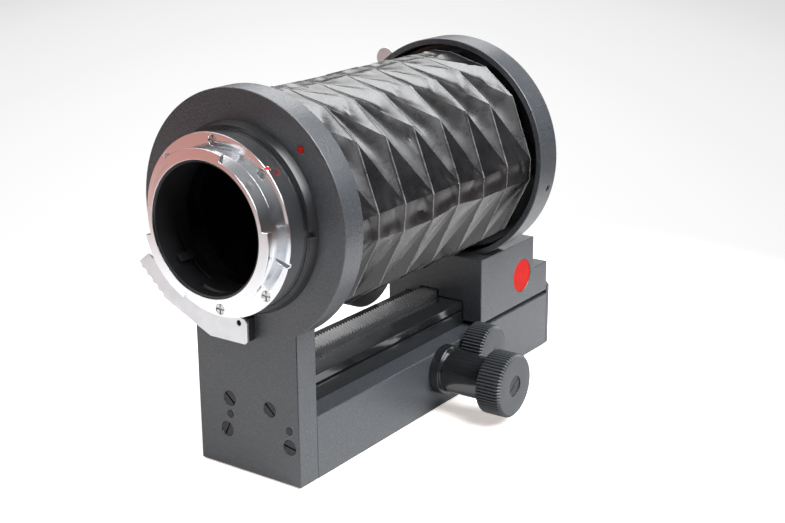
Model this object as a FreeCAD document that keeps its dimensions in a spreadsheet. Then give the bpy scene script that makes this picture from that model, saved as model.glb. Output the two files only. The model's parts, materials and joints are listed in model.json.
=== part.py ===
"""Macro bellows unit: a camera standard, a pleated bellows and a lens carriage on a geared rail.

Frame: millimetres, +Z up, +Y from the camera towards the lens, +X to the right of the camera.
The origin is the mouth of the tripod thread, in the middle of the unit's foot.
"Near" means the camera's side of a piece and "far" the lens's side.
"""
import FreeCAD, Part
import math
import os
import re

import Sketcher

SIZES = {
    # Whole unit
    "body_width": 46,
    "socket_setback": 88,
    # Clearances
    "shaft_clearance": 0.05,
    "slide_clearance": 0.08,
    "fit_clearance": 0.02,
    "thread_clearance": 0.05,
    "play": 0.3,
    "bore_lead": 0.5,
    "bore_relief": 0.4,
    # Base housing, with the dovetail channel for the tripod slide and the gear room above it
    "housing_length": 164,
    "housing_height": 23.5,
    "gear_room_width": 12,
    "gear_room_wall": 2.5,
    "end_plate_thickness": 2,
    "end_plate_height": 33.1,
    "end_plate_corner": 6,
    # Tripod slide
    "slide_proud": 0.4,
    "slide_height": 8,
    "slide_length": 80,
    "slide_screw_share": 0.42,
    "dovetail_mouth": 26,
    "dovetail_root": 32,
    "tripod_bush_radius": 5,
    "tripod_bush_length": 7.5,
    "tripod_thread_radius": 3.175,
    "tripod_thread_depth": 6.5,
    # Guide rail and rack
    "rail_width": 28,
    "rail_height": 10,
    "groove_rise": 5.8,
    "groove_height": 0.9,
    "groove_depth": 2,
    "rack_width": 8.1,
    "rack_offset": -2.45,
    "rack_slot_depth": 2,
    "rack_pitch_rise": 2,
    "focus_rack_width": 8,
    "focus_rack_base": 2.4,
    # Helical teeth
    "normal_module": 0.5,
    "pressure_angle": 20,
    "helix_angle": 27.5,
    "tooth_count": 17,
    "tooth_backlash": 0.06,
    "tooth_root_gap": 0.125,
    "pinion_room_gap": 0.7,
    # Shafts, bosses and knobs
    "shaft_radius": 3,
    "shaft_tail": 6,
    "boss_spigot_radius": 5.5,
    "boss_spigot_length": 8,
    "boss_collar_length": 4,
    "boss_neck_radius": 8.4,
    "focus_collar_radius": 9.9,
    "drive_collar_radius": 9,
    "knob_gap": 0.3,
    "knob_chamfer": 0.8,
    "knob_screw_recess": 0.4,
    "focus_axis_row": 2,
    "focus_knob_standoff": 22.3,
    "focus_knob_length": 10.7,
    "focus_knob_radius": 12.56,
    "drive_axis_setback": 3,
    "drive_knob_standoff": 17,
    "drive_knob_length": 11,
    "drive_knob_radius": 22,
    # Slide lock
    "lock_axis_row": 22.5,
    "lock_axis_height": 19,
    "lock_knob_standoff": 1,
    "lock_knob_length": 10,
    "lock_knob_radius": 10,
    "lock_hub_radius": 6,
    "lock_screw_radius": 2.5,
    "lock_screw_bedding": 8,
    "brake_pin_radius": 1.2,
    "brake_pin_inset": 12,
    "brake_pin_offset": 1.5,
    "brake_play": 0.1,
    # Rear standard
    "standard_thickness": 10,
    "rear_disc_radius": 44.25,
    "bearing_bore_radius": 32,
    "keeper_bore_radius": 33.3,
    "keeper_bore_depth": 2,
    "lip_radius": 33.5,
    "lip_crown_radius": 32.4,
    "lip_height": 3,
    "lip_notch_width": 2.2,
    "lip_notch_depth": 2.2,
    "dowel_radius": 1.25,
    "dowel_length": 16,
    "lower_screw_height": 14.35,
    "upper_screw_height": 26.55,
    "dowel_height": 20.6,
    "screw_column_left": -8.5,
    "screw_column_middle": -10.2,
    "screw_column_right": 9.9,
    "screw_column_outer": 18.4,
    # Turning camera mount
    "collar_radius": 31,
    "collar_bore_radius": 27,
    "collar_back_radius": 26.2,
    "flange_standoff": 12,
    "flange_thickness": 2,
    "flange_radius": 31.5,
    "tube_radius": 25,
    "tube_length": 6,
    "lug_radius": 27.3,
    "lug_thickness": 2.2,
    "lug_span": 55,
    "lug_start": 127,
    "keeper_ring_radius": 33,
    "keeper_ring_bore": 27,
    "keeper_ring_thickness": 1.5,
    "keeper_ring_gap": 0.2,
    "lock_slot_width": 1.3,
    "lock_slot_start": 26,
    "lock_slot_angle": -16,
    "lock_slot_depth": 1.2,
    "flange_screw_circle": 28.9,
    "flange_screw_step": 45,
    "keeper_screw_circle": 29,
    # Baffle and diaphragm ring
    "baffle_radius": 23.4,
    "baffle_wall": 0.8,
    "baffle_inset": 0.6,
    "baffle_back": 9,
    "baffle_back_thickness": 1,
    "window_width": 1.6,
    "window_inset": 5,
    "window_start": -76,
    "window_span": 35,
    "arm_window_start": -112,
    "arm_window_span": 56,
    "arm_angle": -140,
    "arm_width": 3,
    "arm_thickness": 1.4,
    "arm_inner_radius": 20.6,
    "cam_finger_length": 5,
    "diaphragm_ring_radius": 26.8,
    # Index dots
    "index_angle": 45,
    "index_circle": 37.8,
    "index_radius": 1.2,
    "index_depth": 0.8,
    "flange_index_radius": 0.8,
    # Release lever of the turning mount
    "lever_thickness": 1,
    "lever_standoff": 3.3,
    "lever_pivot_offset": 1.2,
    "lever_pivot_drop": 35.9,
    "lever_pin_radius": 0.95,
    "lever_pin_bedding": 4,
    "lever_right": 3.6,
    "lever_top": 1.8,
    "lever_drop": 7.4,
    "lever_corner": 1.2,
    "lever_foot": 13.4,
    "lever_bend_reach": 19.4,
    "lever_bend_drop": 4.7,
    "lever_heel_reach": 34.7,
    "lever_heel_rise": 2.4,
    "lever_tip_reach": 46.7,
    "lever_tip_rise": 13.7,
    "lever_crown_reach": 41.7,
    "lever_crown_rise": 17.7,
    "lever_waist_reach": 18.6,
    "lever_waist_rise": 5.4,
    "scallop_radius": 1.7,
    "scallop_depth": 0.6,
    "nose_width": 2.4,
    "nose_reach": 8,
    "bracket_half_width": 3.4,
    "bracket_top": 1.9,
    "bracket_drop": 6.6,
    "bracket_play": 0.05,
    "spring_radius": 1.45,
    "spring_wire": 0.18,
    "spring_turns": 3,
    "spring_pocket_radius": 1.75,
    "spring_pocket_depth": 2,
    # Bellows and its frames
    "bellows_ridge_radius": 40.8,
    "bellows_valley_radius": 37.4,
    "bellows_cuff_radius": 39,
    "bellows_wall": 0.8,
    "bellows_ridges": 7,
    "bellows_first_ridge": 10.5,
    "bellows_last_ridge": 5.2,
    "frame_radius": 41,
    "frame_bore_radius": 35,
    "frame_thickness": 2.5,
    "front_frame_radius": 42.4,
    "frame_screw_circle": 36.6,
    # Lens carriage
    "foot_gap": 0.5,
    "drive_headroom": 2.9172,
    "lens_ring_radius": 45.5,
    "lens_ring_depth": 12.5,
    "recess_radius": 43,
    "recess_depth": 8,
    "throat_radius": 30,
    "pedestal_overhang": 6.5,
    "pedestal_length": 42.5,
    "pedestal_foot_length": 55,
    "pedestal_gap": 1.8,
    "pedestal_foot_top": 38.5,
    "bellows_gap": 0.5,
    "rack_channel_side": 0.5,
    "rack_channel_rise": 0.5,
    "gib_thickness": 0.8,
    "gib_inset": 2,
    "gib_reach": 4,
    "gib_screw_inset": 2.6,
    "badge_radius": 7,
    "badge_sink": 0.3,
    "badge_thickness": 0.9,
    "badge_setback": 26.8,
    "badge_height": 37.5,
    "set_screw_radius": 1.2,
    "set_screw_length": 2,
    "set_screw_angle": -14.5,
    "set_screw_setback": 8.6,
    # Lens mount and its release lever
    "lens_mount_radius": 33,
    "lens_mount_bore": 27.5,
    "lens_mount_thickness": 2,
    "claw_radius": 24.5,
    "claw_thickness": 1.2,
    "claw_span": 60,
    "lens_screw_circle": 30.3,
    "lens_lever_angle": 139,
    "lens_lever_pivot_circle": 40,
    "lens_lever_inner": 35.4,
    "lens_lever_outer": 50,
    "lens_lever_width": 9,
    "lens_lever_gap": 0.2,
    "lens_lever_thickness": 1.2,
    "lens_pivot_radius": 1.2,
    "lens_pivot_bedding": 3,
    # Screws
    "large_head_radius": 2.65,
    "large_head_height": 1.6,
    "large_radius": 1.5,
    "small_head_radius": 1.8,
    "small_head_height": 1.1,
    "small_radius": 0.95,
    "knob_head_radius": 4,
    "knob_head_height": 1.5,
    "knob_radius": 1.5,
    "standard_screw_reach": 18,
    "rail_screw_reach": 7,
    "rack_screw_reach": 7.5,
    "plate_screw_reach": 8,
    "frame_screw_reach": 3.5,
    "flange_screw_reach": 5,
    "gib_screw_reach": 6,
    "focus_rack_screw_reach": 7,
    "knob_screw_reach": 6,
    "screw_recess": 0.3,
    "slot_width": 0.6,
    "slot_depth": 0.6,
    "slot_turn": 60,
    "flush_recess": 0.1,
    "frame_screw_angle": 45,
    "keeper_screw_angle": 30,
    "lens_screw_angle": 20,
}

PLACES = {
    # Heights
    "base_bottom": "slide_proud",
    "base_top": "base_bottom + housing_height",
    "rail_top": "base_top + rail_height",
    "channel_roof": "slide_height + slide_clearance",
    "gear_room_top": "base_top - gear_room_wall",
    # Rows along the unit
    "rear_face": "-socket_setback",
    "rear_front": "rear_face + standard_thickness",
    "housing_end": "rear_front + housing_length",
    "flange_face": "rear_face - flange_standoff",
    "flange_back": "flange_face + flange_thickness",
    "keeper_bore_floor": "rear_front - keeper_bore_depth",
    "collar_end": "keeper_bore_floor + keeper_ring_gap",
    "lever_back": "rear_face - lever_standoff",
    "lever_face": "lever_back - lever_thickness",
    "carriage_ring": "housing_end - foot_gap - pedestal_foot_length + pedestal_overhang",
    "pedestal_near": "carriage_ring - pedestal_overhang",
    "badge_row": "carriage_ring + badge_setback",
    "recess_floor": "carriage_ring + recess_depth",
    "lens_ring_far": "carriage_ring + lens_ring_depth",
    "lens_mount_face": "lens_ring_far + lens_mount_thickness",
    "bellows_start": "rear_front + frame_thickness",
    "bellows_end": "recess_floor - frame_thickness - play",
    # Teeth
    "transverse_module": "normal_module / cos(helix_angle)",
    "tooth_pitch": "transverse_module * 3.14159265",
    "pitch_radius": "transverse_module * tooth_count / 2",
    "dedendum": "normal_module + tooth_root_gap",
    "rack_pitch_line": "rail_top + rack_pitch_rise",
    "rack_tip": "rack_pitch_line + normal_module",
    "rack_left": "rack_offset - rack_width / 2",
    "rack_right": "rack_offset + rack_width / 2",
    "drive_axis": "rack_pitch_line + pitch_radius",
    "optical_axis": "drive_axis + pitch_radius + normal_module + drive_headroom + lens_ring_radius",
    "pedestal_top": "optical_axis - bellows_ridge_radius - bellows_gap",
    "drive_axis_row": "carriage_ring + drive_axis_setback",
    "focus_pitch_line": "slide_height + focus_rack_base + dedendum",
    "focus_axis": "focus_pitch_line + pitch_radius",
    # Turning mount and levers
    "lever_pivot_height": "optical_axis - lever_pivot_drop",
    "lock_axis": "base_bottom + lock_axis_height",
    "side_face": "body_width / 2",
    "focus_knob_start": "side_face + focus_knob_standoff",
    "drive_knob_start": "side_face + drive_knob_standoff",
    "lock_knob_start": "side_face + lock_knob_standoff",
}

DIRECTIONS = {
    "x": FreeCAD.Rotation(FreeCAD.Vector(0, 1, 0), 90),
    "-x": FreeCAD.Rotation(FreeCAD.Vector(0, 1, 0), -90),
    "y": FreeCAD.Rotation(FreeCAD.Vector(1, 0, 0), -90),
    "-y": FreeCAD.Rotation(FreeCAD.Vector(1, 0, 0), 90),
    "z": FreeCAD.Rotation(),
    "-z": FreeCAD.Rotation(FreeCAD.Vector(1, 0, 0), 180),
}
AXIS_NAMES = "xyz"

# How far along their piece repeated features stand, as shares of its length
RAIL_SCREW_SHARES = ("0.1", "0.3", "0.7", "0.9")
RACK_SCREW_SHARES = ("0.04", "0.5", "0.96")
GIB_SCREW_SHARES = ("0.15", "0.5", "0.85")
SCALLOP_SHARES = ("0.12", "0.33", "0.54", "0.75", "0.96")
# Where the slots of the rear standard's screws came to rest, in degrees
REAR_SLOT_TURNS = (41, -64, 43, 10)

document = FreeCAD.newDocument("macro_bellows_unit")
sheet = document.addObject("Spreadsheet::Sheet", "Sizes")
for row, (size_name, size) in enumerate(SIZES.items(), start=1):
    sheet.set(f"A{row}", size_name)
    sheet.set(f"B{row}", str(size))
    sheet.setAlias(f"B{row}", size_name)
document.recompute()


# Expressions and small helpers

def bound(text):
    """The expression with each size pointing at the sheet and each place spelled out."""
    def spell(match):
        word = match.group(0)
        if word in PLACES:
            return f"({bound(PLACES[word])})"
        if word in SIZES:
            return f"Sizes.{word}"
        return word
    return re.sub(r"[a-z][a-z_]*", spell, str(text))


def value(text):
    """The expression's number, now."""
    return float(sheet.evalExpression(bound(text)))


def spot_vector(spot):
    return FreeCAD.Vector(*[value(text) for text in spot])


def tie(thing, **expressions):
    """Ties properties of an object to the sheet."""
    for name, text in expressions.items():
        thing.setExpression(name, bound(text))


def place(thing, spot, rotation=None):
    """Puts an object at a spot that follows the sheet."""
    if rotation is not None:
        thing.Placement = FreeCAD.Placement(FreeCAD.Vector(), rotation)
    for axis, text in zip(AXIS_NAMES, spot):
        thing.setExpression(f"Placement.Base.{axis}", bound(text))
    return thing


def shifted(spot, along, distance):
    """The spot moved along a direction such as "-y"."""
    moved = list(spot)
    index = AXIS_NAMES.index(along[-1])
    sign = "-" if along.startswith("-") else "+"
    moved[index] = f"{spot[index]} {sign} ({distance})"
    return tuple(moved)


def polar(radius, angle, row):
    """A spot on a circle about the optical axis; angles run from +X towards +Z."""
    return (f"({radius}) * cos({angle})", row, f"optical_axis + ({radius}) * sin({angle})")


def about_axis(angle):
    """Rotation about the optical axis that carries +X to the given angle."""
    return FreeCAD.Rotation(FreeCAD.Vector(0, 1, 0), -angle)


# Bodies and their features

def new_body(label, spot=(0, 0, 0), rotation=None):
    body = document.addObject("PartDesign::Body", label)
    body.Label = label
    place(body, spot, rotation)
    document.recompute([body])
    return body


def new_sketch(body, name, role):
    sketch = body.newObject("Sketcher::SketchObject", f"{body.Name}_{name}")
    plane = next(item for item in body.Origin.OriginFeatures if item.Role == role)
    sketch.AttachmentSupport = [(plane, "")]
    sketch.MapMode = "FlatFace"
    return sketch


def polygon(body, name, role, points):
    """A closed outline whose corners are all tied to the sheet."""
    sketch = new_sketch(body, name, role)
    corners = [FreeCAD.Vector(value(across), value(up), 0) for across, up in points]
    count = len(corners)
    for index in range(count):
        sketch.addGeometry(Part.LineSegment(corners[index], corners[(index + 1) % count]))
    for index in range(count):
        sketch.addConstraint(Sketcher.Constraint("Coincident", index, 2, (index + 1) % count, 1))
    for index, (across, up) in enumerate(points):
        for kind, text in (("DistanceX", across), ("DistanceY", up)):
            rule = Sketcher.Constraint(kind, -1, 1, index, 1, value(text))
            number = sketch.addConstraint(rule)
            sketch.setExpression(f"Constraints[{number}]", bound(text))
    return sketch


def circle(body, name, role, radius, across, up):
    """A circle tied to the sheet."""
    sketch = new_sketch(body, name, role)
    centre = FreeCAD.Vector(value(across), value(up), 0)
    sketch.addGeometry(Part.Circle(centre, FreeCAD.Vector(0, 0, 1), value(radius)))
    rules = (
        (Sketcher.Constraint("Radius", 0, value(radius)), radius),
        (Sketcher.Constraint("DistanceX", -1, 1, 0, 3, value(across)), across),
        (Sketcher.Constraint("DistanceY", -1, 1, 0, 3, value(up)), up),
    )
    for rule, text in rules:
        number = sketch.addConstraint(rule)
        sketch.setExpression(f"Constraints[{number}]", bound(text))
    return sketch


def raised(body, sketch, start, end):
    """A pad along +Y from one row to another, from a sketch on the body's XZ plane."""
    tie(sketch, **{"AttachmentOffset.Base.z": f"-({start})"})
    pad = body.newObject("PartDesign::Pad", f"{sketch.Name}_pad")
    pad.Profile = sketch
    pad.Reversed = True
    tie(pad, Length=f"({end}) - ({start})")
    return pad


def sunk(body, sketch, start, end):
    """A pocket along +Y from one row to another, from a sketch on the body's XZ plane."""
    tie(sketch, **{"AttachmentOffset.Base.z": f"-({start})"})
    pocket = body.newObject("PartDesign::Pocket", f"{sketch.Name}_pocket")
    pocket.Profile = sketch
    tie(pocket, Length=f"({end}) - ({start})")
    return pocket


def turned(label, points, spot, axis):
    """A turned piece: corners are (distance along the axis, radius)."""
    body = new_body(label, spot)
    role = "YZ_Plane" if axis == "y" else "XZ_Plane"
    if axis == "z":
        points = [(radius, along) for along, radius in points]
    sketch = polygon(body, "profile", role, points)
    turning = body.newObject("PartDesign::Revolution", f"{label}_turning")
    turning.Profile = sketch
    turning.ReferenceAxis = (sketch, ["V_Axis" if axis == "z" else "H_Axis"])
    turning.Angle = 360
    return body


# Primitives and booleans

def cylinder(name, radius, length, spot, along):
    solid = document.addObject("Part::Cylinder", name)
    tie(solid, Radius=radius, Height=length)
    rotation = DIRECTIONS[along] if isinstance(along, str) else along
    return place(solid, spot, rotation)


def box(name, size, corner):
    solid = document.addObject("Part::Box", name)
    tie(solid, Length=size[0], Width=size[1], Height=size[2])
    return place(solid, corner)


def fuse(name, solids):
    if len(solids) == 1:
        return solids[0]
    fusion = document.addObject("Part::MultiFuse", name)
    fusion.Shapes = solids
    return fusion


def cut(name, base, tools):
    difference = document.addObject("Part::Cut", name)
    difference.Base = base
    difference.Tool = fuse(f"{name}_tools", tools)
    return difference


def group(name, solids):
    compound = document.addObject("Part::Compound", name)
    compound.Links = solids
    return compound


def sector(name, outer, inner, start, end, first_angle, span):
    """A part of a ring about the optical axis, from first_angle downwards by span degrees."""
    rotation = about_axis(value(first_angle)) * DIRECTIONS["y"]
    whole = cylinder(f"{name}_whole", outer, f"({end}) - ({start})", (0, start, "optical_axis"), rotation)
    tie(whole, Angle=span)
    lead = "bore_lead"
    hole = cylinder(f"{name}_hole", inner, f"({end}) - ({start}) + 2 * {lead}",
                    (0, f"({start}) - {lead}", "optical_axis"), "y")
    return cut(name, whole, [hole])


def turned_box(name, size, inner_radius, row, angle):
    """A box that starts at a radius, lies along it, and is centred on it across."""
    solid = document.addObject("Part::Box", name)
    tie(solid, Length=size[0], Width=size[1], Height=size[2])
    rotation = about_axis(value(angle))
    corner = FreeCAD.Vector(value(inner_radius), value(row), -value(size[2]) / 2)
    solid.Placement = FreeCAD.Placement(
        FreeCAD.Vector(0, 0, value("optical_axis")) + rotation.multVec(corner), rotation)
    return solid


def slot(name, head_radius, top, along, turn):
    """The driver's slot across a screw head."""
    blade = document.addObject("Part::Box", name)
    tie(blade, Length=f"2 * {head_radius} + slot_width", Width="slot_width", Height="slot_depth")
    direction = DIRECTIONS[along] if isinstance(along, str) else along
    rotation = direction * FreeCAD.Rotation(FreeCAD.Vector(0, 0, 1), turn)
    corner = FreeCAD.Vector(-value(f"{head_radius} + slot_width / 2"), -value("slot_width / 2"), 0)
    blade.Placement = FreeCAD.Placement(spot_vector(top) + rotation.multVec(corner), rotation)
    return blade


def screws(label, kind, reach, spots, along, recess="screw_recess", cross=False, slot_turns=None):
    """Screws with their heads' tops `recess` below the spots, and the bores that they need."""
    solids = []
    bores = []
    for number, spot in enumerate(spots, start=1):
        name = f"{label}_{number}"
        top = shifted(spot, along, recess)
        seat = shifted(top, along, f"{kind}_head_height")
        head = cylinder(f"{name}_head", f"{kind}_head_radius", f"{kind}_head_height", top, along)
        shank = cylinder(f"{name}_shank", f"{kind}_radius", reach, seat, along)
        turns = (0, 90) if cross else (slot_turns[number - 1] if slot_turns else value("slot_turn"),)
        blades = [slot(f"{name}_slot_{blade}", f"{kind}_head_radius", top, along, turn)
                  for blade, turn in enumerate(turns, start=1)]
        solids.append(cut(name, fuse(f"{name}_blank", [head, shank]), blades))
        bores.append(cylinder(f"{name}_bore", f"{kind}_radius + thread_clearance",
                              f"{reach} + bore_relief", seat, along))
        bores.append(cylinder(f"{name}_sink", f"{kind}_head_radius + thread_clearance",
                              f"{recess} + {kind}_head_height + bore_lead",
                              shifted(spot, along, "-bore_lead"), along))
    group(label, solids)
    return bores


# Teeth

def transverse_pressure():
    """Tangent of the pressure angle in the plane of turning."""
    return math.tan(math.radians(value("pressure_angle"))) / math.cos(math.radians(value("helix_angle")))


def helical_rack(name, left, right, start, end, bottom, pitch_line, space_row):
    """A rack along Y with slanted teeth; a tooth space crosses the rack's middle at space_row."""
    pitch = value("tooth_pitch")
    width = value(right) - value(left)
    slant = width * math.tan(math.radians(value("helix_angle")))
    line = value(pitch_line)
    half_tooth = (pitch / 2 - value("tooth_backlash")) / 2
    flank = transverse_pressure()
    levels = [(-value("dedendum"), -1), (value("normal_module"), -1),
              (value("normal_module"), 1), (-value("dedendum"), 1)]
    origin = value(space_row) + slant / 2
    first = math.floor((value(start) - origin) / pitch) - 1
    last = math.ceil((value(end) + slant - origin) / pitch) + 1
    points = []
    for tooth in range(first, last + 1):
        centre = origin + (tooth + 0.5) * pitch
        for level, side in levels:
            row = centre + side * (half_tooth - level * flank)
            points.append(FreeCAD.Vector(value(left), row, line + level))
    floor = value(bottom)
    points.append(FreeCAD.Vector(value(left), points[-1].y, floor))
    points.append(FreeCAD.Vector(value(left), points[0].y, floor))
    face = Part.Face(Part.makePolygon(points + points[:1]))
    comb = face.extrude(FreeCAD.Vector(width, -slant, 0))
    tall = line + 2 * value("normal_module") - floor
    length = value(end) - value(start)
    limits = Part.makeBox(width, length, tall, FreeCAD.Vector(value(left), value(start), floor))
    rack = document.addObject("Part::Feature", name)
    rack.Shape = comb.common(limits).Solids[0]
    return rack


def helical_pinion(name, left, right, row, height, sections=5):
    """A pinion along X, twisted through a few sections; at its middle a tooth points straight down."""
    pitch_radius = value("pitch_radius")
    flank = math.atan(transverse_pressure())
    base_radius = pitch_radius * math.cos(flank)
    half_tooth = (value("tooth_pitch") / 2 - value("tooth_backlash")) / 2 / pitch_radius

    def half_angle(radius):
        """Half the tooth's angle at a radius, from the involute of the base circle."""
        here = math.acos(min(1, base_radius / radius))
        return half_tooth + (math.tan(flank) - flank) - (math.tan(here) - here)

    radii = [pitch_radius - value("dedendum"), pitch_radius, pitch_radius + value("normal_module")]
    tooth = [(radius, -half_angle(radius)) for radius in radii]
    tooth += [(radius, half_angle(radius)) for radius in reversed(radii)]
    step = 2 * math.pi / round(value("tooth_count"))
    width = value(right) - value(left)
    twist = width * math.tan(math.radians(value("helix_angle"))) / pitch_radius
    rings = []
    for section in range(sections):
        share = section / (sections - 1)
        ring = []
        for number in range(round(value("tooth_count"))):
            for radius, angle in tooth:
                turn = number * step + angle - math.pi / 2 - twist * (share - 0.5)
                ring.append(FreeCAD.Vector(share * width, radius * math.cos(turn), radius * math.sin(turn)))
        rings.append(ring + ring[:1])
    faces = [Part.Face(Part.makePolygon(rings[0])), Part.Face(Part.makePolygon(rings[-1]))]
    for ring, following in zip(rings, rings[1:]):
        for corner in range(len(ring) - 1):
            edge = Part.LineSegment(ring[corner], ring[corner + 1]).toShape()
            other = Part.LineSegment(following[corner], following[corner + 1]).toShape()
            faces.append(Part.makeRuledSurface(edge, other))
    shell = Part.Shell(faces)
    shell.sewShape()
    teeth = Part.Solid(shell)
    hole = Part.makeCylinder(value("shaft_radius + fit_clearance"), width + 2 * value("bore_lead"),
                             FreeCAD.Vector(-value("bore_lead"), 0, 0), FreeCAD.Vector(1, 0, 0))
    pinion = document.addObject("Part::Feature", name)
    pinion.Shape = teeth.cut(hole)
    return place(pinion, (left, row, height))


def coil_spring(name, radius, spot, rise):
    """A small torsion coil about an axis along Y, from the spot towards +Y."""
    pitch = value(rise) / value("spring_turns")
    helix = Part.makeHelix(pitch, value(rise), value(radius))
    start = FreeCAD.Vector(value(radius), 0, 0)
    lead = FreeCAD.Vector(0, 2 * math.pi * value(radius), pitch)
    section = Part.Wire(Part.makeCircle(value("spring_wire"), start, lead))
    coil = document.addObject("Part::Feature", name)
    coil.Shape = helix.makePipeShell([section], True, True)
    return place(coil, spot, DIRECTIONS["y"])


# Fasteners: each function makes the group and returns its bores

def rear_standard_screws():
    spots = [
        ("screw_column_left", "rear_face", "base_bottom + upper_screw_height"),
        ("screw_column_middle", "rear_face", "base_bottom + lower_screw_height"),
        ("screw_column_right", "rear_face", "base_bottom + upper_screw_height"),
        ("screw_column_outer", "rear_face", "base_bottom + lower_screw_height"),
    ]
    return screws("rear_standard_screws", "large", "standard_screw_reach", spots, "y",
                  slot_turns=REAR_SLOT_TURNS)


def dowel_pins():
    pins = []
    bores = []
    for number, column in enumerate(("screw_column_left", "screw_column_outer"), start=1):
        spot = (column, "rear_face", "base_bottom + dowel_height")
        pins.append(cylinder(f"dowel_{number}", "dowel_radius", "dowel_length", spot, "y"))
        bores.append(cylinder(f"dowel_bore_{number}", "dowel_radius + fit_clearance",
                              "dowel_length + bore_relief + bore_lead",
                              shifted(spot, "y", "-bore_lead"), "y"))
    group("dowel_pins", pins)
    return bores


def rail_screws():
    """Screws up through the roof of the gear room into the rail."""
    seat = "gear_room_top - screw_recess - large_head_height"
    spots = [(0, f"rear_front + {share} * housing_length", seat) for share in RAIL_SCREW_SHARES]
    return screws("rail_screws", "large", "rail_screw_reach", spots, "z")


def rack_screws():
    spots = [("rack_offset", f"rear_front + {share} * housing_length", "base_top")
             for share in RACK_SCREW_SHARES]
    return screws("rack_screws", "small", "rack_screw_reach", spots, "z")


def end_plate_screws():
    across = "(rail_width + body_width) / 4"
    spots = [(f"{side} * {across}", "housing_end + end_plate_thickness", "base_bottom + lower_screw_height")
             for side in (-1, 1)]
    spots += [(f"{side} * rail_width / 3", "housing_end + end_plate_thickness", "base_top + rail_height / 2")
              for side in (-1, 1)]
    return screws("end_plate_screws", "small", "plate_screw_reach", spots, "-y")


def frame_screws(label, row, along):
    spots = [polar("frame_screw_circle", f"frame_screw_angle + 90 * {quarter}", row) for quarter in range(4)]
    return screws(label, "small", "frame_screw_reach", spots, along)


def flange_screws():
    spots = [polar("flange_screw_circle", f"flange_screw_step * {step}", "flange_face")
             for step in (1, 2, 3, 5, 6, 7)]
    return screws("flange_screws", "small", "flange_screw_reach", spots, "y", recess="flush_recess", cross=True)


def keeper_ring_screws():
    row = "collar_end + keeper_ring_thickness"
    spots = [polar("keeper_screw_circle", f"keeper_screw_angle + 120 * {third}", row) for third in range(3)]
    return screws("keeper_ring_screws", "small", "flange_screw_reach", spots, "-y", recess="flush_recess")


def lens_mount_screws():
    spots = [polar("lens_screw_circle", f"lens_screw_angle + 90 * {quarter}", "lens_mount_face")
             for quarter in range(4)]
    return screws("lens_mount_screws", "small", "frame_screw_reach", spots, "-y", recess="flush_recess", cross=True)


def gib_screws():
    across = "rail_width / 2 + gib_screw_inset"
    rows = [f"pedestal_near + gib_inset + {share} * (pedestal_foot_length - gib_inset)"
            for share in GIB_SCREW_SHARES]
    spots = [(f"{side} * ({across})", row, "base_top + pedestal_gap") for side in (-1, 1) for row in rows]
    return screws("gib_screws", "small", "gib_screw_reach", spots, "z")


def focus_rack_screws():
    spots = [(0, f"{side} * slide_screw_share * slide_length", 0) for side in (-1, 1)]
    return screws("focus_rack_screws", "small", "focus_rack_screw_reach", spots, "z")


# Base

def base_housing(bores):
    half = "body_width / 2"
    mouth = "dovetail_mouth / 2 + slide_clearance"
    root = "dovetail_root / 2 + slide_clearance"
    room = "gear_room_width / 2"
    right_side = [(mouth, "base_bottom"), (half, "base_bottom"), (half, "base_top")]
    channel = [(room, "gear_room_top"), (room, "channel_roof"), (root, "channel_roof")]
    right_half = channel + right_side
    left_half = [(f"-({across})", up) for across, up in reversed(right_half)]
    body = new_body("base_housing_block")
    section = polygon(body, "section", "XZ_Plane", right_half + left_half)
    raised(body, section, "rear_front", "housing_end")
    right_end = ("side_face", "focus_axis_row", "focus_axis")
    lock_end = ("side_face", "lock_axis_row", "lock_axis")
    pin_foot = ("side_face - brake_pin_inset", "lock_axis_row", "channel_roof - bore_lead")
    bores = bores + [
        cylinder("focus_spigot_bore", "boss_spigot_radius + fit_clearance", "boss_spigot_length",
                 right_end, "-x"),
        cylinder("focus_shaft_bore", "shaft_radius + shaft_clearance",
                 "side_face + gear_room_width / 2 + shaft_tail + bore_relief", right_end, "-x"),
        cylinder("lock_screw_bore", "lock_screw_radius + shaft_clearance",
                 "brake_pin_inset + brake_pin_offset + bore_relief", lock_end, "-x"),
        cylinder("brake_pin_bore", "brake_pin_radius + shaft_clearance",
                 "lock_axis - channel_roof + bore_lead", pin_foot, "z"),
    ]
    cut("base_housing", body, bores)


def end_plate(bores):
    body = new_body("end_plate_blank")
    half = "body_width / 2"
    top = "base_bottom + end_plate_height"
    corners = [(f"-{half}", "base_bottom"), (half, "base_bottom"), (half, f"{top} - end_plate_corner"),
               (f"{half} - end_plate_corner", top), (f"end_plate_corner - {half}", top),
               (f"-{half}", f"{top} - end_plate_corner")]
    outline = polygon(body, "outline", "XZ_Plane", corners)
    raised(body, outline, "housing_end", "housing_end + end_plate_thickness")
    cut("end_plate", body, bores)


def guide_rail(bores):
    """The rail's section has a groove in each side and a slot for the rack in its top."""
    half = "rail_width / 2"
    floor = "rail_top - rack_slot_depth"
    low = "base_top + groove_rise"
    high = "base_top + groove_rise + groove_height"
    inner = f"{half} - groove_depth"
    corners = [(f"-{half}", "base_top"), (half, "base_top"), (half, low), (inner, low),
               (inner, high), (half, high), (half, "rail_top"), ("rack_right", "rail_top"),
               ("rack_right", floor), ("rack_left", floor), ("rack_left", "rail_top"),
               (f"-{half}", "rail_top"), (f"-{half}", high), (f"-({inner})", high),
               (f"-({inner})", low), (f"-{half}", low)]
    body = new_body("guide_rail_blank")
    raised(body, polygon(body, "section", "XZ_Plane", corners), "rear_front", "housing_end")
    cut("guide_rail", body, bores)


def extension_rack(bores):
    blank = helical_rack("extension_rack_blank", "rack_left + fit_clearance", "rack_right - fit_clearance",
                         "rear_front", "housing_end", "rail_top - rack_slot_depth",
                         "rack_pitch_line", "drive_axis_row")
    cut("extension_rack", blank, bores)


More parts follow.
